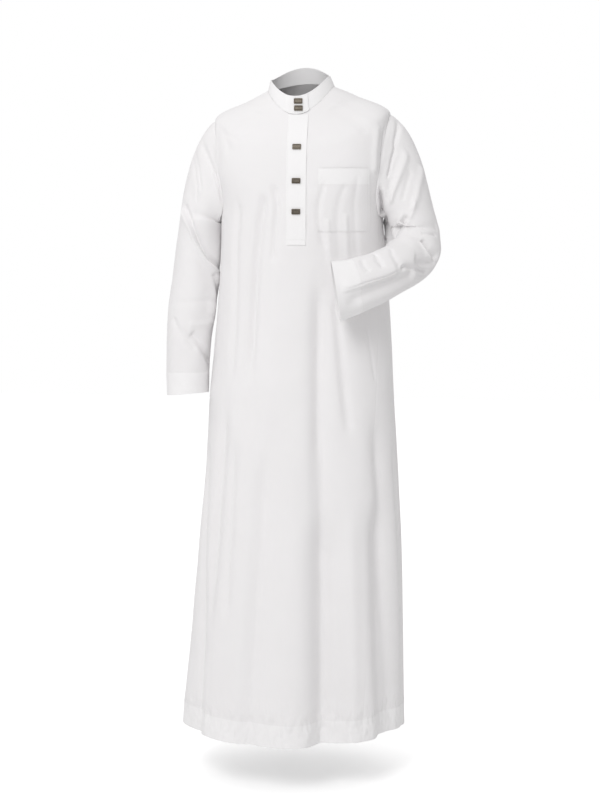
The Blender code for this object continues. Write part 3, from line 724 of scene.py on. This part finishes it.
def stretched(tree, places, scale):
    return node(tree, "ShaderNodeMapping", {"Vector": places, "Scale": scale}).outputs[0]


def map_range(tree, value, source, target, **values):
    inputs = {"Value": value, "From Min": source[0], "From Max": source[1],
              "To Min": target[0], "To Max": target[1]}
    return node(tree, "ShaderNodeMapRange", inputs, **values).outputs[0]


def colour_ramp(tree, value, low, high, places=(0.0, 1.0)):
    """A colour that runs from low to high while the value crosses the two places."""
    made = node(tree, "ShaderNodeValToRGB", {0: value})
    for element, place, colour in zip(made.color_ramp.elements, places, (low, high)):
        element.position = place
        element.color = (*colour, 1.0)
    return made.outputs[0]


def bump(tree, height, strength, distance, **under):
    inputs = {"Height": height, "Strength": strength, "Distance": distance, **under}
    return node(tree, "ShaderNodeBump", inputs).outputs[0]


def object_places(tree):
    return node(tree, "ShaderNodeTexCoord").outputs["Object"]


def cloth_material(name, colour, dark):
    """White twill: fine diagonal weave, faint slubs, soft sheen."""
    material, tree, surface = shader_material(name, colour, 0.82)
    cloth = node(tree, "ShaderNodeUVMap", uv_map="cloth_metres").outputs[0]
    across, down = node(tree, "ShaderNodeSeparateXYZ", {0: cloth}).outputs[:2]

    def yarn_wave(place, fineness):
        turns = 2 * math.pi / WEAVE * fineness
        return math_node(tree, "SINE", math_node(tree, "MULTIPLY", place, turns))

    twill = yarn_wave(math_node(tree, "ADD", across, down), 1.0)
    yarns = math_node(tree, "MULTIPLY", yarn_wave(across, 1.6), yarn_wave(down, 1.6))
    slubs = noise(tree, stretched(tree, cloth, (900.0, 60.0, 1.0)), 1.0, 2.0)
    height = math_node(tree, "ADD", weighted(tree, twill, 0.6, yarns, 0.4),
                       math_node(tree, "MULTIPLY", slubs, SLUB))
    mottle = weighted(tree, noise(tree, cloth, 9.0, 3.0), 0.7, slubs, 0.3)
    set_sockets(tree, surface, {
        "Base Color": colour_ramp(tree, mottle, dark, colour, (0.30, 0.70)),
        "Sheen Weight": 0.22, "Sheen Roughness": 0.45, "Specular IOR Level": 0.28,
        "Normal": bump(tree, height, 0.35, 0.00006, Normal=hem_puckers(tree))})
    return material


def hem_puckers(tree):
    """Bump of the short upright puckers that the robe's hem is drawn into along its stitches."""
    places = object_places(tree)
    z = node(tree, "ShaderNodeSeparateXYZ", {0: places}).outputs[2]
    near = map_range(tree, z, PUCKERS_FROM, (0.0, 1.0), interpolation_type="SMOOTHSTEP")
    gathers = noise(tree, stretched(tree, places, (78.0, 78.0, 34.0)), 1.0, 1.0)
    return bump(tree, math_node(tree, "MULTIPLY", gathers, near), 1.0, 0.0046)


def thread_material():
    material, tree, surface = shader_material("sewing_thread", (0.86, 0.855, 0.845), 0.55)
    twist = node(tree, "ShaderNodeTexWave", {"Vector": object_places(tree), "Scale": 900.0},
                 wave_type="BANDS", bands_direction="DIAGONAL")
    colours = colour_ramp(tree, twist.outputs[1], (0.78, 0.775, 0.765), (0.88, 0.875, 0.865))
    set_sockets(tree, surface, {"Sheen Weight": 0.3, "Base Color": colours})
    return material


def metal_material():
    """Aged brass-grey metal: painted shade darkens its hollows, and wear brightens its edges."""
    material, tree, surface = shader_material("aged_stud_metal", (0.16, 0.14, 0.11), 0.48, 0.9)
    pointed = node(tree, "ShaderNodeNewGeometry").outputs["Pointiness"]
    # Pointiness paints shade into the hollows (darker) and wear onto the edges (brighter); the
    # stain noise adds real blotches. The dark end of the colour ramp below is this painted hollow
    # shade.
    edges = map_range(tree, pointed, (0.44, 0.58), (0.0, 1.0))
    stain = noise(tree, object_places(tree), 700.0, 4.0)
    painted_hollow_shade_and_wear = weighted(tree, edges, 0.75, stain, 0.35)
    colours = colour_ramp(tree, painted_hollow_shade_and_wear, (0.050, 0.040, 0.031), (0.25, 0.22, 0.18), (0.15, 0.85))
    set_sockets(tree, surface, {
        "Base Color": colours,
        "Roughness": map_range(tree, stain, (0.0, 1.0), (0.42, 0.62)),
        "Normal": bump(tree, stain, 0.3, 0.0001)})
    return material


# ---- stitches
STITCH_LENGTH = 0.0025
STITCH_PITCH = 0.0031
STITCH_RADIUS = 0.00030
STITCH_LIFT = (-0.00020, 0.00012, 0.00018, 0.00012, -0.00020)      # over the cloth, end to end
STITCH_FULLNESS = (0.45, 1.0, 1.0, 1.0, 0.45)       # share of the radius at the same places
STITCH_SIDES = 6


def stitches(name, lines, material):
    """One mesh of single stitches along lines; each line has its points and its normals."""
    vertices, faces = [], []
    for path, normals in lines:
        length = lengths_along(path)
        count = max(1, int((length[-1] - STITCH_LENGTH) / STITCH_PITCH) + 1)
        centres = (length[-1] - (count - 1) * STITCH_PITCH) / 2 + np.arange(count) * STITCH_PITCH
        at = centres[:, None] + np.linspace(-0.5, 0.5, len(STITCH_LIFT)) * STITCH_LENGTH
        point = read_along(at, length, path)
        normal = unit(read_along(at, length, normals))
        tangent = unit(point[:, -1:] - point[:, :1])
        side = unit(np.cross(normal, tangent))
        middle = point + normal * np.array(STITCH_LIFT)[:, None]
        turn = (np.arange(STITCH_SIDES) / STITCH_SIDES * 2 * math.pi)[:, None]
        ring = side[:, :, None] * np.cos(turn) + normal[:, :, None] * np.sin(turn)
        radius = STITCH_RADIUS * np.array(STITCH_FULLNESS)[:, None, None]
        for stitch in middle[:, :, None] + ring * radius:
            faces += tube_faces(len(vertices), len(STITCH_LIFT), STITCH_SIDES)
            vertices += stitch.reshape(-1, 3).tolist()
    mesh = bpy.data.meshes.new(name)
    mesh.from_pydata(vertices, [], faces)
    mesh.shade_smooth()
    return add_piece(name, mesh, material)


# ---- body
def panel_piece(name, angles, rows, materials, open_cells=None):
    points = robe_point(angles, np.repeat(rows[:, None], angles.shape[1], 1))
    in_hem = (points[:-1, :, 2] - points[-1:, :, 2]).mean(1) < HEM_DEPTH
    mesh = grid_mesh(name + "_cloth", points, open_cells=open_cells, doubled=in_hem)
    return add_cloth(name, mesh, materials)


def spread(start, end, columns):
    return start[:, None] + (end - start)[:, None] * edge_spread(columns)


def build_front(materials):
    rows = body_stations(NECK, HEM)
    edge = side_seam_angle(rows)
    slit_left = angle_at(PLACKET_X - SLIT_WIDTH / 2, rows)
    slit_right = angle_at(PLACKET_X + SLIT_WIDTH / 2, rows)
    half = HALF_FRONT_COLUMNS
    angles = np.concatenate([spread(-edge, slit_left, half), spread(slit_right, edge, half)], 1)
    middle_z = body_point(slit_left, rows)[:, 2]
    cut = np.zeros((len(rows) - 1, angles.shape[1] - 1), bool)
    cut[:, half] = middle_z[1:] > SLIT_BOTTOM
    return panel_piece("front_panel", angles, rows, materials, cut)


def build_back(materials):
    rows = body_stations(NECK, HEM)
    edge = 180 - side_seam_angle(rows)
    return panel_piece("back_panel", spread(edge, 360 - edge, BACK_COLUMNS), rows, materials)


def build_gore(name, side, materials):
    rows = body_stations(ARMPIT, HEM)
    front = side_seam_angle(rows)
    back = 180 - front
    if side < 0:
        front, back = 360 - back, 360 - front
    return panel_piece(name, spread(front, back, GORE_COLUMNS), rows, materials)


# ---- sleeves
def sleeve_frame(rings, shares):
    """Centres, half spans, depth directions and half depths along the sleeve below its cap."""
    inner, outer, depth, turned = (np.array(column, float) for column in zip(*rings))
    length = lengths_along((inner + outer) / 2)
    places = length / length[-1]

    def read(values):
        return np.stack([smooth_curve(places, values[:, k], shares) for k in range(3)], -1)

    inner, outer = read(inner), read(outer)
    centre, span = (inner + outer) / 2, (outer - inner) / 2
    axis = unit(np.gradient(centre, axis=0))
    front = unit(np.cross(axis, span))
    front *= np.sign(np.sum(front * np.array([0, -1, 0]), -1, keepdims=True))
    front += axis * np.tan(smooth_curve(places, np.radians(turned), shares))[:, None]
    return centre, span, front, smooth_curve(places, depth, shares), axis


def angles_around(columns):
    """Angles around a sleeve, closer together at its front, where the fine creases are."""
    even = np.arange(columns) / columns * 2 * math.pi
    return even - FRONT_PACKING * (1 - np.cos(even))


def armhole_line(side, around):
    """Points just outside the armhole, from the shoulder down the front and back up: with large
    folds only, with all creases, and the normals there."""
    rows = even_stations(SHOULDER_TIP, ARMPIT, 75, 0.002)
    seam = side_seam_angle(rows)
    pit = float(side_seam_angle(np.array([float(ARMPIT)]))[0])
    under = np.linspace(pit, 180 - pit, 80)[1:-1]
    angles = np.concatenate([seam, under, 180 - seam[::-1]])
    stations = np.concatenate([rows, np.full(len(under), float(ARMPIT)), rows[::-1]])
    rough, fine = body_point(side * angles, stations), robe_point(side * angles, stations)
    normals = body_normals(side * angles, stations)
    length = lengths_along(rough)
    at = around / (2 * math.pi) * length[-1]
    rough, fine, normals = (read_along(at, length, line) for line in (rough, fine, normals))
    off_seam = np.array([side * SEAM_OFF, 0, 0])
    return rough + off_seam, fine + off_seam, unit(normals)


def sleeve_cap(side, around, start, seam_normals, end, axis, steps):
    """Rows that bend from the armhole's line into the first ring of the sleeve."""
    lowness = (1 - np.cos(around)) / 2
    leave_top = unit((side * CAP_LEAVES_TOP[0], 0, CAP_LEAVES_TOP[1]))
    leave_pit = unit((side * CAP_LEAVES_PIT[0], 0, CAP_LEAVES_PIT[1]))
    leave = unit(leave_top + (leave_pit - leave_top) * lowness[:, None])
    along_cloth = (np.sin(around) ** 2 * np.minimum(1, 2 * (1 - lowness)))[:, None]
    off_cloth = np.sum(leave * seam_normals, -1, keepdims=True)
    leave = unit(leave - along_cloth * seam_normals * off_cloth)
    span_across = np.linalg.norm(end - start, axis=1)[:, None]
    crown = CROWNS[side] * np.maximum(np.cos(around), 0) ** 3
    starts = (CAP_STARTS + (CAP_FULLNESS - CAP_STARTS) * lowness + crown)[:, None]
    first_handle = start + leave * span_across * starts
    second_handle = end - axis * span_across * CAP_FULLNESS
    return np.array([start * (1 - t) ** 3 + first_handle * 3 * t * (1 - t) ** 2
                     + second_handle * 3 * t * t * (1 - t) + end * t ** 3 for t in steps])


def sleeve_fold(along, degrees, folds):
    out = 0
    for fold in folds:
        share = np.clip((along - fold.start) / (fold.end - fold.start), 0, 1)
        middle = fold.angle_start + (fold.angle_end - fold.angle_start) * share
        begins = smooth_step((along - fold.start + SLEEVE_FADE) / SLEEVE_FADE)
        ends = smooth_step((fold.end + SLEEVE_FADE - along) / SLEEVE_FADE)
        out += fold.out * begins * ends * bell_curve(turn_between(degrees, middle), fold.width)
    return out


def sleeve_points(side, rings, folds, creases):
    """The sleeve's outer surface and each row's distance below the cap."""
    around = angles_around(SLEEVE_COLUMNS)
    degrees = np.degrees(around)
    start, fine_start, seam_normals = armhole_line(side, around)
    shares = np.linspace(0, 1, SLEEVE_ROWS + 1)
    centre, span, front, depth, axis = sleeve_frame(rings, shares)
    tube = (centre[:, None] + span[:, None] * np.cos(around)[None, :, None]
            + (front * depth[:, None])[:, None] * np.sin(around)[None, :, None])
    steps = np.linspace(0, 1, CAP_ROWS + 1)[:-1]
    cap = sleeve_cap(side, around, start, seam_normals, tube[0], axis[0], steps)
    points = np.concatenate([cap, tube])

    normals = grid_normals(points, True)
    normals *= np.sign(np.sum(normals * (points - points.mean(1, keepdims=True))))
    along = np.concatenate([-CAP_SHARE * (1 - steps), shares])
    out = sleeve_fold(along[:, None], degrees, folds)
    metres = running_sum(np.linalg.norm(np.diff(points, axis=0), axis=-1).mean(1))
    below_cap = metres - metres[CAP_ROWS]
    girth = np.linalg.norm(np.roll(points, -1, 1) - points, axis=-1).sum(1)
    out += crease_out(below_cap[:, None], degrees, (girth / 360)[:, None], creases)
    out += waves(points, SLEEVE_WAVES, side)
    to_cuff = (metres[-1] - metres)[:, None]
    out += HEM_STEP * smooth_step((CUFF_DEPTH - to_cuff) / STEP_WIDTH)
    out += stitched_line(to_cuff - CUFF_DEPTH, points * np.array(CUFF_PUCKER_CELLS))
    out += waves(points, CUFF_WAVES, side) * smooth_step(1 - to_cuff / EDGE_WAVES_UP[1])
    from_seam = metres[:, None]
    out += CAP_SINK * (2 * smooth_step(from_seam / CAP_SINK_WAY) - 1)
    points = points + normals * out[..., None]
    blend = smooth_step(from_seam / CAP_BLEND)[..., None]
    return points + (fine_start - points[:1]) * (1 - blend), below_cap


def build_sleeve(name, side, rings, folds, creases, materials):
    points, below_cap = sleeve_points(side, rings, folds, creases)
    if side > 0:
        points = points[:, ::-1]
    in_cuff = below_cap[-1] - below_cap[:-1] < CUFF_DEPTH
    mesh = grid_mesh(name + "_cloth", points, wraps=True, doubled=in_cuff)
    return add_cloth(name, mesh, materials), (points, below_cap)


# ---- collar, placket and pocket
def band_point(angle, rise, step_out):
    sine, cosine = np.sin(np.radians(angle)), np.cos(np.radians(angle))
    top = np.stack([BAND_TOP.centre_x + BAND_TOP.half_width * sine,
                    BAND_TOP.centre_y - ring_depth(BAND_TOP, cosine) * cosine,
                    ring_height(BAND_TOP, sine, cosine)], -1)
    out = np.stack([sine, -cosine, np.zeros_like(sine)], -1)
    point = robe_point(angle, 0.0) * (1 - rise[..., None]) + top * rise[..., None]
    return point + out * step_out[..., None]


def collar_step_out(angle):
    full_at = 360 + BAND_OVERLAP_START - 4
    share = smooth_step((angle - (360 + BAND_STEP_FROM)) / (full_at - 360 - BAND_STEP_FROM))
    return BAND_LAP * share


def edge_bevel(piece, width):
    bevel = piece.modifiers.new("soft_edges", "BEVEL")
    bevel.width = width
    bevel.segments = 2
    bevel.limit_method = "ANGLE"
    bevel.angle_limit = math.radians(50)
    bevel.harden_normals = False
    return piece


def collar_outer(angle, rise):
    """The band's outer face, with its edge stitching pressed in."""
    angle, rise = grids(angle, rise)
    groove = BAND_GROOVE * bell_curve((1 - rise) * BAND_HEIGHT - BAND_GROOVE_DOWN, GROOVE_WIDTH)
    swell = BAND_SWELL * np.sin(np.pi * np.clip(rise, 0, 1))
    return band_point(angle, rise, collar_step_out(angle) - groove + swell)


def on_collar(angles, rises, row=slice(None), column=slice(None)):
    """Points on the band's outer face and its normals, from one row or column of a grid."""
    patch = collar_outer(np.asarray(angles)[None], np.asarray(rises)[:, None])
    return patch[row, column], grid_normals(patch, False)[row, column]


def build_collar(material):
    angles = np.linspace(BAND_OVERLAP_START, 360 + BAND_OVERLAP_END, 260)
    mesh = grid_mesh("collar_band_cloth", on_collar(angles, np.linspace(1, 0, 15))[0])
    return edge_bevel(add_cloth("collar_band", mesh, material, 0.0020), 0.0005)


def laid_on_front(x_values, z_values, lift_of):
    """Points on the front at x and z, lifted off the robe, and the robe's normals there."""
    x_values, z_values = grids(x_values, z_values)
    angle, station = front_surface_at(x_values, z_values)
    normals = body_normals(angle, station)
    return robe_point(angle, station) + normals * lift_of(x_values, z_values)[..., None], normals


PLACKET_STUD_HEIGHTS = (-0.098, -0.167, -0.230)
LAY = 0.0013                # top face of a laid piece over the panel's outer face
LAID_GROOVE = 0.0003        # depth of a sewn line on it and its half width
LAID_GROOVE_WIDTH = 0.0010
PLACKET_FREE = 0.0009       # how much further the placket's free side lifts between its studs
PLACKET_HELD = (-0.040, *PLACKET_STUD_HEIGHTS, -0.290)      # z where it is held down instead
PLACKET_HELD_REACH = 0.017
POCKET_MOUTH = 0.0018       # how far the pocket's mouth stands open
POCKET_SLACK = 0.0004       # and its middle


def placket_lift(x_grid, z_grid):
    """Top face of the placket: stitched down on its right, free between the snaps on its left."""
    free = smooth_step((x_grid - (PLACKET_X + 0.006)) / 0.015)
    held = np.max([bell_curve(z_grid - z, PLACKET_HELD_REACH) for z in PLACKET_HELD], 0)
    near_edge = PLACKET_X - PLACKET_WIDTH / 2 + STITCH_INSET
    groove = LAID_GROOVE * bell_curve(x_grid - near_edge, LAID_GROOVE_WIDTH)
    return LAY + PLACKET_FREE * free * (1 - held) - groove


def build_placket(material):
    x_values = PLACKET_X - PLACKET_WIDTH / 2 + PLACKET_WIDTH * edge_spread(26)
    neck_z = float(body_point(0.0, 0.0)[2])
    z_values = np.linspace(neck_z - 0.0010, PLACKET_BOTTOM, 130)
    outer, _ = laid_on_front(x_values, z_values[:, None], placket_lift)
    mesh = grid_mesh("front_placket_cloth", outer)
    return edge_bevel(add_cloth("front_placket", mesh, material, 0.0012), 0.0004)


def pocket_lift(x_grid, z_grid):
    """Top face of the pocket: its mouth stands a little open and its hem band is thicker."""
    across = np.clip((x_grid - POCKET_INNER) / POCKET_WIDTH, 0, 1)
    down = (POCKET_TOP - z_grid) / POCKET_HEIGHT
    mouth = POCKET_MOUTH * np.sin(np.pi * across) ** 0.8 * np.exp(-down / 0.16)
    hem = HEM_STEP * smooth_step((POCKET_HEM - (POCKET_TOP - z_grid)) / 0.002)
    to_edge = np.minimum(across, 1 - across) * POCKET_WIDTH
    to_edge = np.minimum(to_edge, (1 - down) * POCKET_HEIGHT)
    groove = LAID_GROOVE * bell_curve(to_edge - POCKET_INSET, GROOVE_WIDTH)
    slack = POCKET_SLACK * np.sin(np.pi * across) * np.sin(np.pi * np.clip(down, 0, 1))
    return LAY + mouth + hem - groove + slack


def build_pocket(materials):
    x_values = POCKET_INNER + POCKET_WIDTH * edge_spread(48)
    z_values = POCKET_TOP - POCKET_HEIGHT * edge_spread(60)
    outer, _ = laid_on_front(x_values, z_values[:, None], pocket_lift)
    in_hem = POCKET_TOP - z_values[1:] < POCKET_HEM
    mesh = grid_mesh("chest_pocket_cloth", outer, doubled=in_hem)
    return add_cloth("chest_pocket", mesh, materials)


# ---- studs
STUD_WIDTH = 0.0180
STUD_HEIGHT = 0.0112
STUD_DEPTH = 0.0028
STUD_RIBS = 6
STUD_PROFILE = (            # inset of the outline, its corner radius and its height
    (0.0008, 0.0010, 0.0), (0.0, 0.0014, 0.0005), (0.0, 0.0014, STUD_DEPTH - 0.0008),
    (0.0005, 0.0012, STUD_DEPTH - 0.0002), (0.0012, 0.0010, STUD_DEPTH),
    (0.0022, 0.0007, STUD_DEPTH), (0.0030, 0.0005, STUD_DEPTH - 0.0004),
    (0.0034, 0.0004, STUD_DEPTH - 0.0010))
RIB_PROFILE = (             # width of a rib, inset of its length, corner radius and height
    (0.0017, 0.0, 0.0007, STUD_DEPTH - 0.0011), (0.0016, 0.0001, 0.0007, STUD_DEPTH - 0.0006),
    (0.0011, 0.0008, 0.0005, STUD_DEPTH - 0.0002))
COLLAR_STUD_DROPS = (0.30, 0.69)    # below the band's top, as shares of its height


def rounded_loop(width, height, corner, steps=5):
    """Outline of a rounded rectangle, as x and y pairs."""
    points = []
    for quarter, (sx, sy) in enumerate(((1, 1), (-1, 1), (-1, -1), (1, -1))):
        for k in range(steps + 1):
            turn = math.pi / 2 * (quarter + k / steps)
            points.append((sx * (width / 2 - corner) + corner * math.cos(turn),
                           sy * (height / 2 - corner) + corner * math.sin(turn)))
    return np.array(points)


def stud_mesh(name, centre, outward):
    """A rectangular snap cap: rounded rim, sunk field and a row of raised ribs."""
    across = unit(np.cross((0, 0, 1), outward))
    upward = np.cross(outward, across)
    vertices, faces = [], []

    def stack(loops, close_start=True):
        faces.extend(tube_faces(len(vertices), len(loops), len(loops[0][0]), close_start))
        vertices.extend(centre + across * x + upward * y + outward * lift
                        for loop, lift in loops for x, y in loop)

    stack([(rounded_loop(STUD_WIDTH - inset, STUD_HEIGHT - inset, corner), lift)
           for inset, corner, lift in STUD_PROFILE])
    field_width, field_height = STUD_WIDTH - 0.0044, STUD_HEIGHT - 0.0046
    for k in range(STUD_RIBS):
        x = (k - (STUD_RIBS - 1) / 2) * field_width / (STUD_RIBS - 0.2)
        stack([(rounded_loop(width, field_height - inset, corner, 3) + np.array([x, 0.0]), lift)
               for width, inset, corner, lift in RIB_PROFILE], close_start=False)
    mesh = bpy.data.meshes.new(name)
    mesh.from_pydata([tuple(map(float, v)) for v in vertices], [], faces)
    mesh.shade_smooth()
    mesh.set_sharp_from_angle(angle=math.radians(40))
    return mesh


def build_studs(material):
    seats = []
    angle = np.degrees(math.asin(PLACKET_X / BAND_TOP.half_width)) + np.array([356.0, 360.0, 364.0])
    for drop in COLLAR_STUD_DROPS:
        seats.append(on_collar(angle, 1 - drop + np.array([0.1, 0.0, -0.1]), 1, 1))
    for z in PLACKET_STUD_HEIGHTS:
        points, normals = laid_on_front([PLACKET_X], [z], placket_lift)
        seats.append((points[0], normals[0]))
    for number, (seat, outward) in enumerate(seats, 1):
        name = f"snap_stud_{number}_cap"
        mesh = stud_mesh(name, seat + outward * 0.0003, outward)
        add_piece(name, mesh, material, stands_for=f"snap_stud_{number}")


# ---- sewing
def build_sewing(material, sleeves):
    around = np.linspace(0, 360, 700)
    # The stations that lie one hem depth above the hem
    fine = np.linspace(HEM - 0.3, HEM, 200)
    hem_stations = []
    for angle in around:
        line = body_point(np.full(fine.shape, angle), fine)[:, 2]
        hem_stations.append(np.interp(-(line[-1] + HEM_DEPTH), -line, fine))
    lines = [(robe_point(around, hem_stations), body_normals(around, hem_stations))]
    for points, below_cap in sleeves:
        row = int(np.argmin(np.abs(below_cap[-1] - below_cap - CUFF_DEPTH)))
        ring, normals = points[row], grid_normals(points, True)[row]
        lines.append((np.concatenate([ring, ring[:1]]), np.concatenate([normals, normals[:1]])))
    stitches("hem_and_cuff_stitching", lines, material)

    left_x, right_x = PLACKET_X - PLACKET_WIDTH / 2, PLACKET_X + PLACKET_WIDTH / 2
    end_z, box_z = PLACKET_BOTTOM + STITCH_INSET, PLACKET_BOTTOM + BOX_HEIGHT
    across = np.linspace(left_x + STITCH_INSET, right_x - STITCH_INSET, 40)
    stitches("placket_stitching", [laid_on_front(x, z, placket_lift) for x, z in (
        (left_x + STITCH_INSET, np.linspace(PLACKET_SEAM_TOP, end_z, 200)),
        (right_x - BOX_INSET, np.linspace(box_z, end_z, 20)), (across, end_z), (across, box_z))],
        material)

    inner_x, outer_x = POCKET_INNER + POCKET_INSET, POCKET_INNER + POCKET_WIDTH - POCKET_INSET
    bottom_z = POCKET_TOP - POCKET_HEIGHT + POCKET_INSET
    down, across = np.linspace(POCKET_TOP, bottom_z, 120), np.linspace(inner_x, outer_x, 80)
    stitches("pocket_stitching", [laid_on_front(x, z, pocket_lift) for x, z in (
        (inner_x, down), (outer_x, down), (across, bottom_z), (across, POCKET_TOP - POCKET_HEM))],
        material)

    angles = np.linspace(BAND_OVERLAP_START + 2, 360 + BAND_OVERLAP_END - 2, 500)
    lines = [on_collar(angles, (rise + 0.01, rise, rise - 0.01), 1) for rise in BAND_SEAM_RISES]
    rises = np.linspace(*BAND_SEAM_RISES, 30)
    lines += [on_collar((angle - 1, angle, angle + 1), rises, column=1)
              for angle in (angles[-1], BAND_SECOND_SEAM)]
    stitches("collar_stitching", lines, material)


# ---- camera, light and floor
CAMERA_TURN = math.radians(7.0)     # towards the wearer's left
CAMERA_DISTANCE = 4.0
CAMERA_HEIGHT = -0.165
CAMERA_DOWN = math.radians(6.68)
CAMERA_SIDE = -0.003
LENS = 1880.0 / 800.0 * 36.0        # 1880 pixels of focal length in a picture 800 high
FLOOR_Z = -1.447
FLOOR_REACH = 7.0
FLOOR_GLOW = 0.42           # what the floor adds for the camera, to be a plain white
KEY_PLACE = (-0.75, -3.2, 1.8)
KEY_AIM = (0.0, 0.0, -0.1)
KEY_SIZE = (1.6, 1.6)
KEY_POWER = 61.0
SOFT_FROM = (-0.12, 0.12, 0.75)     # side of the world that the soft light comes from
SOFT_DIM = 0.10             # its strength away from there, and there
SOFT_BRIGHT = 0.86


def build_camera():
    data = bpy.data.cameras.new("camera")
    data.lens = LENS
    data.clip_end = 60.0
    camera = add_object("camera", data)
    sine, cosine = math.sin(CAMERA_TURN), math.cos(CAMERA_TURN)
    camera.location = (CAMERA_DISTANCE * sine + CAMERA_SIDE * cosine,
                       -CAMERA_DISTANCE * cosine + CAMERA_SIDE * sine, CAMERA_HEIGHT)
    camera.rotation_euler = (math.pi / 2 - CAMERA_DOWN, 0.0, CAMERA_TURN)
    bpy.context.scene.camera = camera


def build_key_light():
    data = bpy.data.lights.new("key", "AREA")
    data.shape = "RECTANGLE"
    data.size, data.size_y = KEY_SIZE
    data.energy = KEY_POWER
    light = add_object("key", data)
    light.location = KEY_PLACE
    light.rotation_euler = (Vector(KEY_AIM) - Vector(KEY_PLACE)).to_track_quat("-Z", "Y").to_euler()


def build_world():
    """Soft light all round, stronger from one side, in front of a white background."""
    world = bpy.data.worlds.new("studio")
    world.use_nodes = True
    tree = world.node_tree
    tree.nodes.clear()
    seen = node(tree, "ShaderNodeBackground", {"Color": (1.0, 1.0, 1.0, 1.0), "Strength": 1.0})
    places = node(tree, "ShaderNodeTexCoord").outputs["Generated"]
    facing = node(tree, "ShaderNodeVectorMath", {0: places, 1: Vector(SOFT_FROM).normalized()},
                  operation="DOT_PRODUCT").outputs["Value"]
    level = map_range(tree, facing, (-1.0, 1.0), (SOFT_DIM, SOFT_BRIGHT))
    fill = node(tree, "ShaderNodeBackground",
                {"Color": (1.0, 0.996, 0.998, 1.0), "Strength": level})
    by_camera = node(tree, "ShaderNodeLightPath").outputs["Is Camera Ray"]
    mix = node(tree, "ShaderNodeMixShader", {0: by_camera, 1: fill.outputs[0], 2: seen.outputs[0]})
    node(tree, "ShaderNodeOutputWorld", {0: mix.outputs[0]})
    bpy.context.scene.world = world


def build_floor():
    material, tree, surface = shader_material("studio_floor", (0.93, 0.93, 0.93), 0.9)
    grain = node(tree, "ShaderNodeTexNoise", {"Scale": 3.0}).outputs[0]
    by_camera = node(tree, "ShaderNodeLightPath").outputs["Is Camera Ray"]
    set_sockets(tree, surface, {
        "Base Color": colour_ramp(tree, grain, (0.92, 0.92, 0.92), (0.94, 0.94, 0.94)),
        "Emission Color": (1.0, 1.0, 1.0, 1.0),
        "Emission Strength": math_node(tree, "MULTIPLY", by_camera, FLOOR_GLOW)})
    mesh = bpy.data.meshes.new("studio_floor")
    corners = ((-1, -1), (1, -1), (1, 1), (-1, 1))
    mesh.from_pydata([(x * FLOOR_REACH, y * FLOOR_REACH, FLOOR_Z) for x, y in corners], [],
                     [(0, 1, 2, 3)])
    mesh.materials.append(material)
    add_object("studio_floor", mesh)


# ---- the robe
CLOTHS = (                  # each cloth's name, its colour and its colour in faint mottles
    ("white_twill", (0.852, 0.839, 0.842), (0.832, 0.819, 0.822)),
    ("white_twill_doubled", (0.890, 0.880, 0.882), (0.872, 0.862, 0.864)),
    ("white_twill_stiffened", (0.896, 0.887, 0.889), (0.878, 0.869, 0.871)))


def main():
    bpy.context.scene.view_settings.view_transform = "Standard"
    build_camera()
    build_world()
    build_key_light()
    build_floor()
    robe_cloth, doubled_cloth, band_cloth = (cloth_material(*row) for row in CLOTHS)
    cloths = (robe_cloth, doubled_cloth)
    thread = thread_material()
    front = build_front(cloths)
    back = build_back(cloths)
    gores = [build_gore("side_gore_right", -1, cloths), build_gore("side_gore_left", 1, cloths)]
    right, right_rows = build_sleeve(
        "sleeve_right", -1, RIGHT_SLEEVE_RINGS, RIGHT_SLEEVE_FOLDS, RIGHT_SLEEVE_CREASES, cloths)
    left, left_rows = build_sleeve(
        "sleeve_left", 1, LEFT_SLEEVE_RINGS, LEFT_SLEEVE_FOLDS, LEFT_SLEEVE_CREASES, cloths)
    collar = build_collar(band_cloth)
    placket = build_placket(band_cloth)
    pocket = build_pocket(cloths)
    build_studs(metal_material())
    build_sewing(thread, (right_rows, left_rows))


main()
